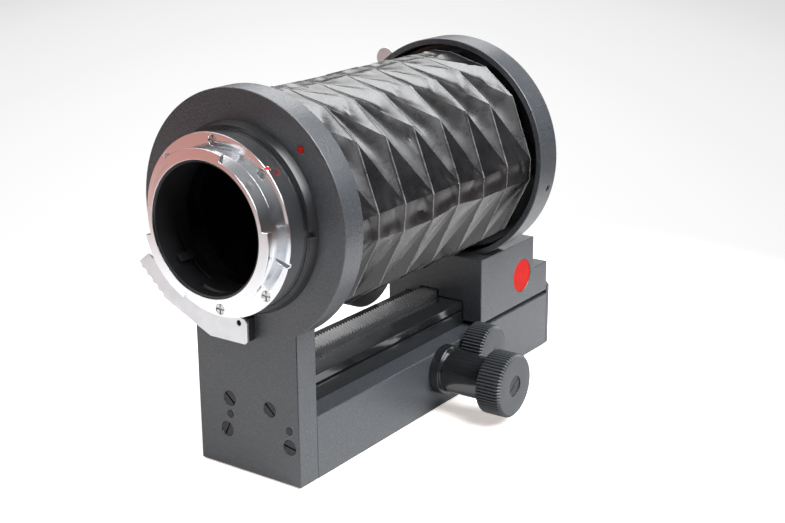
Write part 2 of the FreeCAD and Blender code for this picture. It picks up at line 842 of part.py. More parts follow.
def rear_standard(bores):
    """A leg and a round head in one piece, bored for the turning mount."""
    half = "body_width / 2"
    body = new_body("rear_standard_blank")
    leg = polygon(body, "leg", "XZ_Plane", [(f"-{half}", "base_bottom"), (half, "base_bottom"),
                                            (half, "optical_axis"), (f"-{half}", "optical_axis")])
    raised(body, leg, "rear_face", "rear_front")
    disc = circle(body, "disc", "XZ_Plane", "rear_disc_radius", 0, "optical_axis")
    raised(body, disc, "rear_face", "rear_front")
    bore = circle(body, "bore", "XZ_Plane", "bearing_bore_radius", 0, "optical_axis")
    sunk(body, bore, "rear_face", "rear_front")
    keeper = circle(body, "keeper", "XZ_Plane", "keeper_bore_radius", 0, "optical_axis")
    sunk(body, keeper, "keeper_bore_floor", "rear_front")
    dot = polar("index_circle", "index_angle", "rear_face - bore_lead")
    pivot = ("lever_pivot_offset", "rear_face - bore_lead", "lever_pivot_height")
    bores = bores + [
        cylinder("rear_dot_bore", "index_radius + fit_clearance", "index_depth + bore_lead", dot, "y"),
        cylinder("lever_pivot_bore", "lever_pin_radius + fit_clearance",
                 "lever_pin_bedding + bore_relief + bore_lead", pivot, "y"),
    ]
    cut("rear_standard", body, bores)


def rear_index_dot():
    spot = polar("index_circle", "index_angle", "rear_face")
    cylinder("rear_index_dot", "index_radius", "index_depth", spot, "y")


def mount_bearing():
    """The sleeve that the mount turns in, with a raised lip round its near end."""
    inner = "collar_radius + shaft_clearance"
    outer = "bearing_bore_radius - fit_clearance"
    corners = [("-lip_height", inner), ("-lip_height", "lip_crown_radius"), (0, "lip_radius"), (0, outer),
               ("standard_thickness - keeper_bore_depth", outer),
               ("standard_thickness - keeper_bore_depth", inner)]
    sleeve = turned("mount_bearing_sleeve", corners, (0, "rear_face", "optical_axis"), "y")
    size = ("lip_radius - collar_radius + bore_lead", "lip_notch_depth + bore_lead", "lip_notch_width")
    notch = turned_box("lip_notch", size, "collar_radius", "rear_face - lip_height - bore_lead", "0")
    cut("mount_bearing", sleeve, [notch])


def bellows_frame(label, row, outer, bores):
    body = new_body(f"{label}_blank")
    ring = circle(body, "ring", "XZ_Plane", outer, 0, "optical_axis")
    raised(body, ring, row, f"{row} + frame_thickness")
    hole = circle(body, "hole", "XZ_Plane", "frame_bore_radius", 0, "optical_axis")
    sunk(body, hole, row, f"{row} + frame_thickness")
    cut(label, body, bores)


def bellows():
    """A closed zigzag tube: ridges and valleys in turn between two cuffs."""
    count = round(value("bellows_ridges"))
    length = "(bellows_end - bellows_start)"
    pitch = f"(({length} - bellows_first_ridge - bellows_last_ridge) / {count - 1})"
    outside = [("0", "bellows_cuff_radius")]
    for ridge in range(count):
        outside.append((f"bellows_first_ridge + {ridge} * {pitch}", "bellows_ridge_radius"))
        if ridge < count - 1:
            outside.append((f"bellows_first_ridge + ({ridge} + 1 / 2) * {pitch}", "bellows_valley_radius"))
    outside.append((length, "bellows_cuff_radius"))
    inside = [(along, f"{radius} - bellows_wall") for along, radius in reversed(outside)]
    turned("bellows", outside + inside, (0, "bellows_start", "optical_axis"), "y")


def shaft_boss(label, side, collar_radius, knob_start, row, height):
    """The flanged bush that carries a knob's shaft, let into the side of a body."""
    bore = "shaft_radius + shaft_clearance"
    end = f"{knob_start} - knob_gap"
    corners = [("side_face - boss_spigot_length", bore), ("side_face - boss_spigot_length", "boss_spigot_radius"),
               ("side_face", "boss_spigot_radius"), ("side_face", collar_radius),
               ("side_face + boss_collar_length", collar_radius),
               ("side_face + boss_collar_length", "boss_neck_radius"),
               (end, "boss_neck_radius"), (end, bore)]
    corners = [(f"{side} * ({along})", radius) for along, radius in corners]
    turned(label, corners, (0, row, height), "x")


def lever_bracket():
    width = "2 * bracket_half_width"
    height = "bracket_top + bracket_drop"
    depth = "lever_standoff - bracket_play"
    corner = ("lever_pivot_offset - bracket_half_width", "rear_face - lever_standoff + bracket_play",
              "lever_pivot_height - bracket_drop")
    block = box("lever_bracket_block", (width, depth, height), corner)
    pivot = ("lever_pivot_offset", "lever_back - bore_lead", "lever_pivot_height")
    pocket = cylinder("lever_spring_pocket", "spring_pocket_radius",
                      "spring_pocket_depth + bracket_play + bore_lead", pivot, "y")
    hole = cylinder("lever_bracket_bore", "lever_pin_radius + fit_clearance",
                    "lever_standoff + 2 * bore_lead", pivot, "y")
    cut("lever_bracket", block, [pocket, hole])


def lever_pivot():
    top = ("lever_pivot_offset", "lever_face", "lever_pivot_height")
    pin = cylinder("lever_pivot_pin", "lever_pin_radius",
                   "lever_thickness + lever_standoff + lever_pin_bedding", top, "y")
    cut("lever_pivot", pin, [slot("lever_pivot_slot", "lever_pin_radius", top, "y", value("slot_turn"))])


def brake_pin():
    """A pin that stands on the slide; its cone meets the cone of the lock screw."""
    foot = "slide_height + brake_play"
    shoulder = "lock_axis - brake_pin_offset - brake_play - brake_pin_radius"
    corners = [(foot, 0), (foot, "brake_pin_radius"), (shoulder, "brake_pin_radius"),
               (f"{shoulder} + brake_pin_radius", 0)]
    turned("brake_pin", corners, ("side_face - brake_pin_inset", "lock_axis_row", 0), "z")


# Turning camera mount

def mount_collar(bores):
    corners = [("flange_back", "collar_bore_radius"), ("flange_back", "collar_radius"),
               ("collar_end", "collar_radius"), ("collar_end", "collar_back_radius"),
               ("flange_face + baffle_back + baffle_back_thickness", "collar_back_radius"),
               ("flange_face + baffle_back + baffle_back_thickness", "collar_bore_radius")]
    blank = turned("mount_collar_blank", corners, (0, 0, "optical_axis"), "y")
    cut("mount_collar", blank, bores)


def keeper_ring(bores):
    end = "collar_end + keeper_ring_thickness"
    corners = [("collar_end", "keeper_ring_bore"), ("collar_end", "keeper_ring_radius"),
               (end, "keeper_ring_radius"), (end, "keeper_ring_bore")]
    blank = turned("keeper_ring_blank", corners, (0, 0, "optical_axis"), "y")
    cut("keeper_ring", blank, bores)


def bayonet_flange(bores):
    """Flange, tube and three lugs in one piece, with the slot for the camera's lock pin."""
    inner = "baffle_radius + fit_clearance"
    corners = [("flange_face - tube_length", inner), ("flange_face - tube_length", "tube_radius"),
               ("flange_face", "tube_radius"), ("flange_face", "flange_radius"),
               ("flange_back", "flange_radius"), ("flange_back", inner)]
    blank = turned("bayonet_flange_blank", corners, (0, 0, "optical_axis"), "y")
    start = "flange_face - tube_length"
    lugs = [sector(f"bayonet_lug_{third}", "lug_radius", "tube_radius - fit_clearance", start,
                   f"{start} + lug_thickness", f"lug_start + 120 * {third}", "lug_span") for third in range(3)]
    whole = fuse("bayonet_flange_whole", [blank] + lugs)
    size = ("flange_radius - lock_slot_start + bore_lead", "lock_slot_depth + bore_lead", "lock_slot_width")
    lock = turned_box("bayonet_lock_slot", size, "lock_slot_start", "flange_face - bore_lead", "lock_slot_angle")
    dot = dot_on_rim("flange_dot_bore", "flange_index_radius + fit_clearance", "bore_lead")
    cut("bayonet_flange", whole, bores + [lock, dot])


def dot_on_rim(name, radius, extra):
    """A short cylinder let into the rim of the flange at the index angle."""
    angle = value("index_angle")
    outward = FreeCAD.Rotation(FreeCAD.Vector(0, 0, 1), about_axis(angle).multVec(FreeCAD.Vector(1, 0, 0)))
    spot = polar("flange_radius - index_depth", "index_angle", "(flange_face + flange_back) / 2")
    return cylinder(name, radius, f"index_depth + {extra}", spot, outward)


def mount_baffle():
    """The blackened tube inside the mount, with a window and a longer slot for the cam arm."""
    near = "flange_face - tube_length + baffle_inset"
    back = "flange_face + baffle_back"
    inner = "baffle_radius - baffle_wall"
    corners = [(near, inner), (near, "baffle_radius"), (back, "baffle_radius"),
               (back, "collar_bore_radius - fit_clearance"),
               (f"{back} + baffle_back_thickness", "collar_bore_radius - fit_clearance"),
               (f"{back} + baffle_back_thickness", inner)]
    blank = turned("mount_baffle_blank", corners, (0, 0, "optical_axis"), "y")
    window_row = "flange_face - tube_length + window_inset"
    window = sector("baffle_window", "baffle_radius + bore_lead", f"{inner} - bore_lead", window_row,
                    f"{window_row} + window_width", "window_start", "window_span")
    arm_row = "flange_face + baffle_back / 2"
    arm_window = sector("baffle_arm_window", "baffle_radius + bore_lead", f"{inner} - bore_lead",
                        f"{arm_row} - arm_thickness / 2 - play", f"{arm_row} + arm_thickness / 2 + play",
                        "arm_window_start", "arm_window_span")
    cut("mount_baffle", blank, [window, arm_window])


def diaphragm_ring():
    """The ring behind the flange; its arm passes through the baffle and ends in the cam finger."""
    inner = "baffle_radius + shaft_clearance"
    near = "flange_back + play"
    far = "flange_face + baffle_back - play"
    corners = [(near, inner), (near, "diaphragm_ring_radius"), (far, "diaphragm_ring_radius"), (far, inner)]
    ring = turned("diaphragm_ring_band", corners, (0, 0, "optical_axis"), "y")
    row = "flange_face + baffle_back / 2 - arm_thickness / 2"
    size = ("baffle_radius - arm_inner_radius + shaft_clearance * 2", "arm_thickness", "arm_width")
    arm = turned_box("diaphragm_arm", size, "arm_inner_radius", row, "arm_angle")
    size = ("arm_thickness", "cam_finger_length + arm_thickness", "arm_width")
    finger = turned_box("diaphragm_finger", size, "arm_inner_radius", f"{row} - cam_finger_length", "arm_angle")
    fuse("diaphragm_ring", [ring, arm, finger])


def flange_index_dot():
    dot_on_rim("flange_index_dot", "flange_index_radius", "0")


def pivot_plate(name, points, start, end):
    """A flat plate between two rows, drawn about the lever's pivot."""
    body = new_body(name, ("lever_pivot_offset", 0, "lever_pivot_height"))
    raised(body, polygon(body, "outline", "XZ_Plane", points), start, end)
    return body


def release_lever():
    """A flat lever below the mount: pivot at its right end, scalloped thumb edge at its left."""
    points = [
        ("-lever_crown_reach", "lever_crown_rise"),
        ("-lever_tip_reach", "lever_tip_rise"),
        ("-lever_heel_reach", "lever_heel_rise"),
        ("-lever_bend_reach", "-lever_bend_drop"),
        ("-lever_foot", "-lever_drop"),
        ("lever_right - lever_corner", "-lever_drop"),
        ("lever_right", "lever_corner - lever_drop"),
        ("lever_right", "lever_top - lever_corner"),
        ("lever_right - lever_corner", "lever_top"),
        ("-lever_waist_reach + nose_reach + nose_width", "(lever_top + lever_waist_rise) / 2"),
        ("-lever_waist_reach + nose_reach", "(lever_top + lever_waist_rise) / 2 + nose_width / 2"),
        ("-lever_waist_reach", "lever_waist_rise"),
    ]
    plate = pivot_plate("release_lever_plate", points, "lever_face", "lever_back")
    rise = "(lever_tip_rise - lever_heel_rise)"
    run = "(lever_tip_reach - lever_heel_reach)"
    length = math.hypot(value(rise), value(run))
    outward = f"(scallop_radius - scallop_depth) / {length}"
    scallops = []
    for share in SCALLOP_SHARES:
        spot = (f"lever_pivot_offset - lever_heel_reach - {share} * {run} - {outward} * {rise}",
                "lever_face - bore_lead",
                f"lever_pivot_height + lever_heel_rise + {share} * {rise} - {outward} * {run}")
        scallops.append(cylinder(f"lever_scallop_{len(scallops) + 1}", "scallop_radius",
                                 "lever_thickness + 2 * bore_lead", spot, "y"))
    pivot = ("lever_pivot_offset", "lever_face - bore_lead", "lever_pivot_height")
    hole = cylinder("lever_plate_bore", "lever_pin_radius + shaft_clearance",
                    "lever_thickness + 2 * bore_lead", pivot, "y")
    cut("release_lever", plate, scallops + [hole])


# Lens carriage

def lens_carriage(bores):
    """Pedestal, foot and lens ring in one casting that straddles the rail."""
    half = "body_width / 2"
    bottom = "base_top + pedestal_gap"
    step = "base_bottom + pedestal_foot_top"
    body = new_body("lens_carriage_casting")
    foot = polygon(body, "foot", "XZ_Plane", [(f"-{half}", bottom), (half, bottom),
                                              (half, step), (f"-{half}", step)])
    raised(body, foot, "pedestal_near", "pedestal_near + pedestal_foot_length")
    block = polygon(body, "block", "XZ_Plane", [(f"-{half}", bottom), (half, bottom),
                                                (half, "pedestal_top"), (f"-{half}", "pedestal_top")])
    raised(body, block, "pedestal_near", "pedestal_near + pedestal_length")
    ring = circle(body, "ring", "XZ_Plane", "lens_ring_radius", 0, "optical_axis")
    raised(body, ring, "carriage_ring", "lens_ring_far")
    recess = circle(body, "recess", "XZ_Plane", "recess_radius", 0, "optical_axis")
    sunk(body, recess, "carriage_ring", "recess_floor")
    throat = circle(body, "throat", "XZ_Plane", "throat_radius", 0, "optical_axis")
    sunk(body, throat, "recess_floor", "lens_ring_far")
    channel_half = "rail_width / 2 + slide_clearance"
    channel = polygon(body, "channel", "XZ_Plane", [
        (f"-({channel_half})", f"{bottom} - bore_lead"), (channel_half, f"{bottom} - bore_lead"),
        (channel_half, "rail_top + slide_clearance"), (f"-({channel_half})", "rail_top + slide_clearance")])
    sunk(body, channel, "pedestal_near", "pedestal_near + pedestal_foot_length")
    rack_roof = "rack_tip + rack_channel_rise"
    rack = polygon(body, "rack", "XZ_Plane", [
        ("rack_left - rack_channel_side", "rail_top"), ("rack_right + rack_channel_side", "rail_top"),
        ("rack_right + rack_channel_side", rack_roof), ("rack_left - rack_channel_side", rack_roof)])
    sunk(body, rack, "pedestal_near", "pedestal_near + pedestal_foot_length")
    cut("lens_carriage", body, bores + carriage_tools())


def carriage_tools():
    """The cuts across the casting: pinion room, shaft bores, gib slots and small seats."""
    room_radius = "pitch_radius + normal_module + pinion_room_gap"
    room_left = "rack_left - rack_channel_side"
    room_width = "rack_width + 2 * rack_channel_side"
    shaft = ("-side_face", "drive_axis_row", "drive_axis")
    tools = [
        cylinder("pinion_room", room_radius, room_width, (room_left, "drive_axis_row", "drive_axis"), "x"),
        box("pinion_room_mouth", (room_width, f"2 * ({room_radius})", "drive_axis - rail_top"),
            (room_left, f"drive_axis_row - ({room_radius})", "rail_top")),
        cylinder("drive_spigot_bore", "boss_spigot_radius + fit_clearance", "boss_spigot_length", shaft, "x"),
        cylinder("drive_shaft_bore", "shaft_radius + shaft_clearance",
                 "side_face + rack_right + rack_channel_side + shaft_tail + bore_relief", shaft, "x"),
        cylinder("badge_seat", "badge_radius + fit_clearance", "badge_sink + badge_thickness",
                 ("side_face", "badge_row", "base_bottom + badge_height"), "-x"),
        radial_screw("set_screw_bore", "set_screw_radius + thread_clearance", "bore_lead"),
        cylinder("lens_pivot_bore", "lens_pivot_radius + thread_clearance", "lens_pivot_bedding + bore_relief",
                 polar("lens_lever_pivot_circle", "lens_lever_angle", "lens_ring_far"), "-y"),
        cylinder("lens_spring_pocket", "spring_pocket_radius", "spring_pocket_depth",
                 polar("lens_lever_pivot_circle", "lens_lever_angle", "lens_ring_far"), "-y"),
    ]
    for side in (-1, 1):
        width = "slide_clearance + gib_reach"
        middle = f"{side} * (rail_width / 2 + ({width}) / 2)"
        low = "base_top + groove_rise + (groove_height - gib_thickness) / 2 - fit_clearance"
        name = "gib_slot_left" if side < 0 else "gib_slot_right"
        tools.append(box(name, (width, "pedestal_foot_length", "gib_thickness + 2 * fit_clearance"),
                         (f"{middle} - ({width}) / 2", "pedestal_near + gib_inset", low)))
    return tools


def gib(label, side, bores):
    """A thin steel strip in the carriage whose edge runs in the rail's groove."""
    inner = "rail_width / 2 - groove_depth + play"
    outer = "rail_width / 2 + gib_reach"
    corner = (inner if side > 0 else f"-({outer})", "pedestal_near + gib_inset + fit_clearance",
              "base_top + groove_rise + (groove_height - gib_thickness) / 2")
    size = (f"{outer} - ({inner})", "pedestal_foot_length - gib_inset - fit_clearance", "gib_thickness")
    cut(label, box(f"{label}_blank", size, corner), bores)


def side_badge():
    spot = ("side_face - badge_sink", "badge_row", "base_bottom + badge_height")
    cylinder("side_badge", "badge_radius", "badge_thickness", spot, "-x")


def radial_screw(name, radius, extra):
    """A headless screw let into the rim of the lens ring."""
    angle = value("set_screw_angle")
    outward = FreeCAD.Rotation(FreeCAD.Vector(0, 0, 1), about_axis(angle).multVec(FreeCAD.Vector(1, 0, 0)))
    spot = polar("lens_ring_radius - screw_recess - set_screw_length", "set_screw_angle",
                 "carriage_ring + set_screw_setback")
    return cylinder(name, radius, f"set_screw_length + {extra}", spot, outward)


def ring_set_screw():
    blank = radial_screw("ring_set_screw_blank", "set_screw_radius", "0")
    inward = FreeCAD.Rotation(FreeCAD.Vector(0, 0, -1),
                              about_axis(value("set_screw_angle")).multVec(FreeCAD.Vector(1, 0, 0)))
    top = polar("lens_ring_radius - screw_recess", "set_screw_angle", "carriage_ring + set_screw_setback")
    cut("ring_set_screw", blank, [slot("ring_set_screw_slot", "set_screw_radius", top, inward, 0)])


def lens_mount_ring(bores):
    """The steel ring that a lens locks into, with three claws."""
    far = "lens_mount_face"
    corners = [("lens_ring_far", "lens_mount_bore"), ("lens_ring_far", "lens_mount_radius"),
               (far, "lens_mount_radius"), (far, "lens_mount_bore")]
    ring = turned("lens_mount_ring_band", corners, (0, 0, "optical_axis"), "y")
    claws = [sector(f"lens_mount_claw_{third}", "lens_mount_bore + fit_clearance", "claw_radius",
                    f"{far} - claw_thickness", far, f"90 + 120 * {third}", "claw_span") for third in range(3)]
    dot = cylinder("lens_dot_bore", "flange_index_radius + fit_clearance", "index_depth + bore_lead",
                   polar("lens_screw_circle", 90, f"{far} + bore_lead"), "-y")
    cut("lens_mount_ring", fuse("lens_mount_ring_whole", [ring] + claws), bores + [dot])


def lens_index_dot():
    spot = polar("lens_screw_circle", 90, "lens_mount_face")
    cylinder("lens_index_dot", "flange_index_radius", "index_depth", spot, "-y")


def lens_release_lever():
    """A flat tab on the lens's side that swings about its pivot; drawn along +X, then turned."""
    angle = value("lens_lever_angle")
    near = "lens_ring_far + lens_lever_gap"
    body = new_body("lens_release_plate", (0, 0, "optical_axis"), about_axis(angle))
    half = "lens_lever_width / 2"
    plate = polygon(body, "plate", "XZ_Plane", [
        ("lens_lever_inner", f"-{half} / 2"), ("lens_lever_pivot_circle", f"-{half}"),
        ("lens_lever_outer", f"-{half}"), ("lens_lever_outer", half),
        ("lens_lever_pivot_circle", half), ("lens_lever_inner", f"{half} / 2")])
    raised(body, plate, near, f"{near} + lens_lever_thickness")
    tip = circle(body, "tip", "XZ_Plane", half, "lens_lever_outer", 0)
    raised(body, tip, near, f"{near} + lens_lever_thickness")
    hole = cylinder("lens_lever_bore", "lens_pivot_radius + shaft_clearance",
                    "lens_lever_thickness + 2 * bore_lead",
                    polar("lens_lever_pivot_circle", "lens_lever_angle", f"{near} - bore_lead"), "y")
    cut("lens_release_lever", body, [hole])


def lens_lever_pivot():
    seat = "lens_ring_far + 2 * lens_lever_gap + lens_lever_thickness"
    top = polar("lens_lever_pivot_circle", "lens_lever_angle", f"{seat} + small_head_height")
    head = cylinder("lens_pivot_head", "small_head_radius", "small_head_height", top, "-y")
    shank = cylinder("lens_pivot_shank", "lens_pivot_radius",
                     "2 * lens_lever_gap + lens_lever_thickness + lens_pivot_bedding",
                     polar("lens_lever_pivot_circle", "lens_lever_angle", seat), "-y")
    cut("lens_lever_pivot", fuse("lens_pivot_blank", [head, shank]),
        [slot("lens_pivot_slot", "small_head_radius", top, "-y", 0)])


# Shafts and knobs

def shaft(label, side, tail, knob_start, knob_length, row, height):
    """A plain shaft from its blind bearing to the screw seat in its knob, drilled for the screw."""
    end = f"{knob_start} + {knob_length} - knob_screw_recess - knob_head_height"
    direction = "x" if side > 0 else "-x"
    start = (f"{-side} * ({tail})", row, height)
    blank = cylinder(f"{label}_blank", "shaft_radius", f"({tail}) + {end}", start, direction)
    tip = (f"{side} * ({end} + bore_lead)", row, height)
    hole = cylinder(f"{label}_thread", "knob_radius + thread_clearance",
                    "knob_screw_reach + bore_relief + bore_lead", tip, "-x" if side > 0 else "x")
    cut(label, blank, [hole])


def knob(label, side, start, length, radius, row, height):
    """A chamfered drum with a bore for the shaft and a seat for the knob screw."""
    bore = "shaft_radius + fit_clearance"
    seat = "knob_head_radius + thread_clearance"
    end = f"{start} + {length}"
    floor = f"{end} - knob_screw_recess - knob_head_height"
    corners = [(start, bore), (start, f"{radius} - knob_chamfer"), (f"{start} + knob_chamfer", radius),
               (f"{end} - knob_chamfer", radius), (end, f"{radius} - knob_chamfer"),
               (end, seat), (floor, seat), (floor, bore)]
    corners = [(f"{side} * ({along})", across) for along, across in corners]
    turned(label, corners, (0, row, height), "x")


def knob_screw(label, side, start, length, row, height):
    spot = (f"{side} * ({start} + {length})", row, height)
    screws(label, "knob", "knob_screw_reach", [spot], "-x" if side > 0 else "x", recess="knob_screw_recess")


def lock_knob():
    """A drum with a small hub towards the housing, bored blind for the lock screw."""
    hub = "side_face + knob_gap"
    end = "lock_knob_start + lock_knob_length"
    depth = "lock_knob_start + lock_screw_bedding"
    bore = "lock_screw_radius + fit_clearance"
    corners = [(hub, bore), (hub, "lock_hub_radius"), ("lock_knob_start", "lock_hub_radius"),
               ("lock_knob_start", "lock_knob_radius - knob_chamfer"),
               ("lock_knob_start + knob_chamfer", "lock_knob_radius"), (f"{end} - knob_chamfer", "lock_knob_radius"),
               (end, "lock_knob_radius - knob_chamfer"), (end, 0), (depth, 0), (depth, bore)]
    turned("lock_knob", corners, (0, "lock_axis_row", "lock_axis"), "x")


def lock_screw():
    tip = "side_face - brake_pin_inset - brake_pin_offset"
    corners = [(tip, 0), (f"{tip} + lock_screw_radius", "lock_screw_radius"),
               ("lock_knob_start + lock_screw_bedding", "lock_screw_radius"),
               ("lock_knob_start + lock_screw_bedding", 0)]
    turned("lock_screw", corners, (0, "lock_axis_row", "lock_axis"), "x")


# Tripod slide

def tripod_slide(bores):
    half_mouth = "dovetail_mouth / 2"
    half_root = "dovetail_root / 2"
    right = [(half_mouth, 0), (half_mouth, "slide_proud"), (half_root, "slide_height")]
    left = [(f"-{across}", up) for across, up in reversed(right)]
    body = new_body("tripod_slide_bar")
    section = polygon(body, "section", "XZ_Plane", right + left)
    raised(body, section, "-slide_length / 2", "slide_length / 2")
    seat = cylinder("tripod_bush_seat", "tripod_bush_radius + fit_clearance", "tripod_bush_length + bore_lead",
                    (0, 0, "-bore_lead"), "z")
    cut("tripod_slide", body, bores + [seat])


def tripod_bush():
    outer = cylinder("tripod_bush_blank", "tripod_bush_radius", "tripod_bush_length", (0, 0, 0), "z")
    thread = cylinder("tripod_thread", "tripod_thread_radius", "tripod_thread_depth + bore_lead",
                      (0, 0, "-bore_lead"), "z")
    cut("tripod_bush", outer, [thread])


def focus_rack(bores):
    blank = helical_rack("focus_rack_blank", "-focus_rack_width / 2", "focus_rack_width / 2",
                         "-slide_length / 2", "slide_length / 2", "slide_height",
                         "focus_pitch_line", "focus_axis_row")
    cut("focus_rack", blank, bores)


# The unit

def build():
    standard_bores = rear_standard_screws()
    dowel_bores = dowel_pins()
    rail_bores = rail_screws()
    rack_bores = rack_screws()
    plate_bores = end_plate_screws()
    rear_frame_bores = frame_screws("rear_frame_screws", "bellows_start", "-y")
    front_frame_bores = frame_screws("front_frame_screws", "recess_floor - frame_thickness", "y")
    flange_bores = flange_screws()
    keeper_bores = keeper_ring_screws()
    gib_bores = gib_screws()
    lens_bores = lens_mount_screws()
    slide_bores = focus_rack_screws()

    base_housing(standard_bores + dowel_bores + rail_bores + plate_bores)
    end_plate(plate_bores)
    guide_rail(standard_bores + rail_bores + rack_bores + plate_bores)
    extension_rack(rack_bores)
    rear_standard(standard_bores + dowel_bores + rear_frame_bores)
    rear_index_dot()
    mount_bearing()
    bellows_frame("bellows_rear_frame", "rear_front", "frame_radius", rear_frame_bores)
    bellows()
    shaft_boss("focus_boss", 1, "focus_collar_radius", "focus_knob_start", "focus_axis_row", "focus_axis")
    lever_bracket()
    lever_pivot()
    coil_spring("lever_spring", "spring_radius",
                ("lever_pivot_offset", "lever_back + 2 * spring_wire + bracket_play", "lever_pivot_height"),
                "spring_pocket_depth - 3 * spring_wire")
    brake_pin()

    mount_collar(flange_bores + keeper_bores)
    keeper_ring(keeper_bores)
    bayonet_flange(flange_bores)
    flange_index_dot()
    mount_baffle()
    diaphragm_ring()
    release_lever()

    lens_carriage(front_frame_bores + gib_bores + lens_bores)
    gib("gib_left", -1, gib_bores)
    gib("gib_right", 1, gib_bores)
    side_badge()
    ring_set_screw()
    bellows_frame("bellows_front_frame", "recess_floor - frame_thickness", "front_frame_radius", front_frame_bores)
    lens_mount_ring(lens_bores)
    lens_index_dot()
    lens_release_lever()
    lens_lever_pivot()
    coil_spring("lens_lever_spring", "spring_radius",
                polar("lens_lever_pivot_circle", "lens_lever_angle",
                      "lens_ring_far - spring_pocket_depth + spring_wire"),
                "spring_pocket_depth - 3 * spring_wire")
    shaft_boss("drive_boss", -1, "drive_collar_radius", "drive_knob_start", "drive_axis_row", "drive_axis")

    drive_tail = "rack_right + rack_channel_side + shaft_tail"
    shaft("drive_shaft", -1, drive_tail, "drive_knob_start", "drive_knob_length", "drive_axis_row", "drive_axis")
    helical_pinion("drive_pinion", "rack_left", "rack_right", "drive_axis_row", "drive_axis")
    knob("drive_knob", -1, "drive_knob_start", "drive_knob_length", "drive_knob_radius",
         "drive_axis_row", "drive_axis")
    knob_screw("drive_knob_screw", -1, "drive_knob_start", "drive_knob_length", "drive_axis_row", "drive_axis")

    focus_tail = "gear_room_width / 2 + shaft_tail"
    shaft("focus_shaft", 1, focus_tail, "focus_knob_start", "focus_knob_length", "focus_axis_row", "focus_axis")
    helical_pinion("focus_pinion", "-focus_rack_width / 2", "focus_rack_width / 2", "focus_axis_row", "focus_axis")
    knob("focus_knob", 1, "focus_knob_start", "focus_knob_length", "focus_knob_radius",
         "focus_axis_row", "focus_axis")
    knob_screw("focus_knob_screw", 1, "focus_knob_start", "focus_knob_length", "focus_axis_row", "focus_axis")

    lock_knob()
    lock_screw()
    tripod_slide(slide_bores)
    tripod_bush()
    focus_rack(slide_bores)


NODES = [
    "base_housing", "end_plate", "end_plate_screws", "guide_rail", "rail_screws", "extension_rack",
    "rack_screws", "rear_standard", "rear_standard_screws", "dowel_pins", "rear_index_dot",
    "mount_bearing", "bellows_rear_frame", "rear_frame_screws", "bellows", "focus_boss",
    "lever_bracket", "lever_pivot", "lever_spring", "brake_pin",
    "mount_collar", "keeper_ring", "keeper_ring_screws", "bayonet_flange", "flange_screws",
    "flange_index_dot", "mount_baffle", "diaphragm_ring", "release_lever",
    "lens_carriage", "gib_left", "gib_right", "gib_screws", "side_badge", "ring_set_screw",
    "bellows_front_frame", "front_frame_screws", "lens_mount_ring", "lens_mount_screws",
    "lens_index_dot", "lens_release_lever", "lens_lever_pivot", "lens_lever_spring", "drive_boss",
    "drive_shaft", "drive_pinion", "drive_knob", "drive_knob_screw",
    "focus_shaft", "focus_pinion", "focus_knob", "focus_knob_screw",
    "lock_knob", "lock_screw", "tripod_slide", "tripod_bush", "focus_rack", "focus_rack_screws",
]

build()
document.recompute()

for item in document.Objects:
    if "Invalid" in item.State or "Error" in item.State:
        raise RuntimeError(f"{item.Name} failed: {item.State}")

parts = {name: document.getObject(name) for name in NODES}
for name, part in parts.items():
    if part.Shape.isNull() or not part.Shape.isValid():
        raise RuntimeError(f"{name} has no valid shape")

os.makedirs("parts", exist_ok=True)
for name, part in parts.items():
    part.Label = name
    part.Shape.exportStep(os.path.join("parts", f"{name}.step"))
print(f"{len(parts)} nodes written")
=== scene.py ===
"""Macro bellows unit: finished surfaces, cloth, paint and metal around the packed CAD frame.

Everything is in metres in the CAD's own frame: +Z up, +Y from the camera towards the lens, +X to the right.
"""
import json
import math
from collections import namedtuple

import bmesh
import bpy
import numpy as np
from mathutils import Matrix, Vector

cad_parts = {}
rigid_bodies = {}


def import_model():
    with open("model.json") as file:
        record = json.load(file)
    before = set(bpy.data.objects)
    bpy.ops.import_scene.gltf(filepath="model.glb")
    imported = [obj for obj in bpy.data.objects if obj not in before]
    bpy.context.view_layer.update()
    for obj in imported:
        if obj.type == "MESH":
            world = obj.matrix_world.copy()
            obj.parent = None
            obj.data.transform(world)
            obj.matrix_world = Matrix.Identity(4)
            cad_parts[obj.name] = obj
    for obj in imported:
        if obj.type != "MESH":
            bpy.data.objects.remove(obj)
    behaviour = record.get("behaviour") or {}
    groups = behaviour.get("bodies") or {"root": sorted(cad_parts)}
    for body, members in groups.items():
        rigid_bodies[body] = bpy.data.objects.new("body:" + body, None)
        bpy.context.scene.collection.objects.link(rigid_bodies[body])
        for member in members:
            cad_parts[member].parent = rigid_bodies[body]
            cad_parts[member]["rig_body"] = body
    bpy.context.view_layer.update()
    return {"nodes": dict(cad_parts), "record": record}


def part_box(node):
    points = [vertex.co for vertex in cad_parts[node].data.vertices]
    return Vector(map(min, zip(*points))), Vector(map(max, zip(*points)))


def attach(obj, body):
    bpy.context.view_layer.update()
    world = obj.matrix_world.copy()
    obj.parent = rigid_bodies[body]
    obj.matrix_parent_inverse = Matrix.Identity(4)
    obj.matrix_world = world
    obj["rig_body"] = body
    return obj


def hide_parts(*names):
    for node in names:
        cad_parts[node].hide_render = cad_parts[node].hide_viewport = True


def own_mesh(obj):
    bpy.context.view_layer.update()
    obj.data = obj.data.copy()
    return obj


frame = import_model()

bl_info = {
    "name": "Macro bellows unit",
    "version": (1, 0, 0),
    "blender": (4, 5, 0),
    "location": "View3D > Sidebar > Bellows unit",
    "description": "Builds the finished pieces of a macro bellows unit on its CAD frame",
    "category": "Mesh",
}

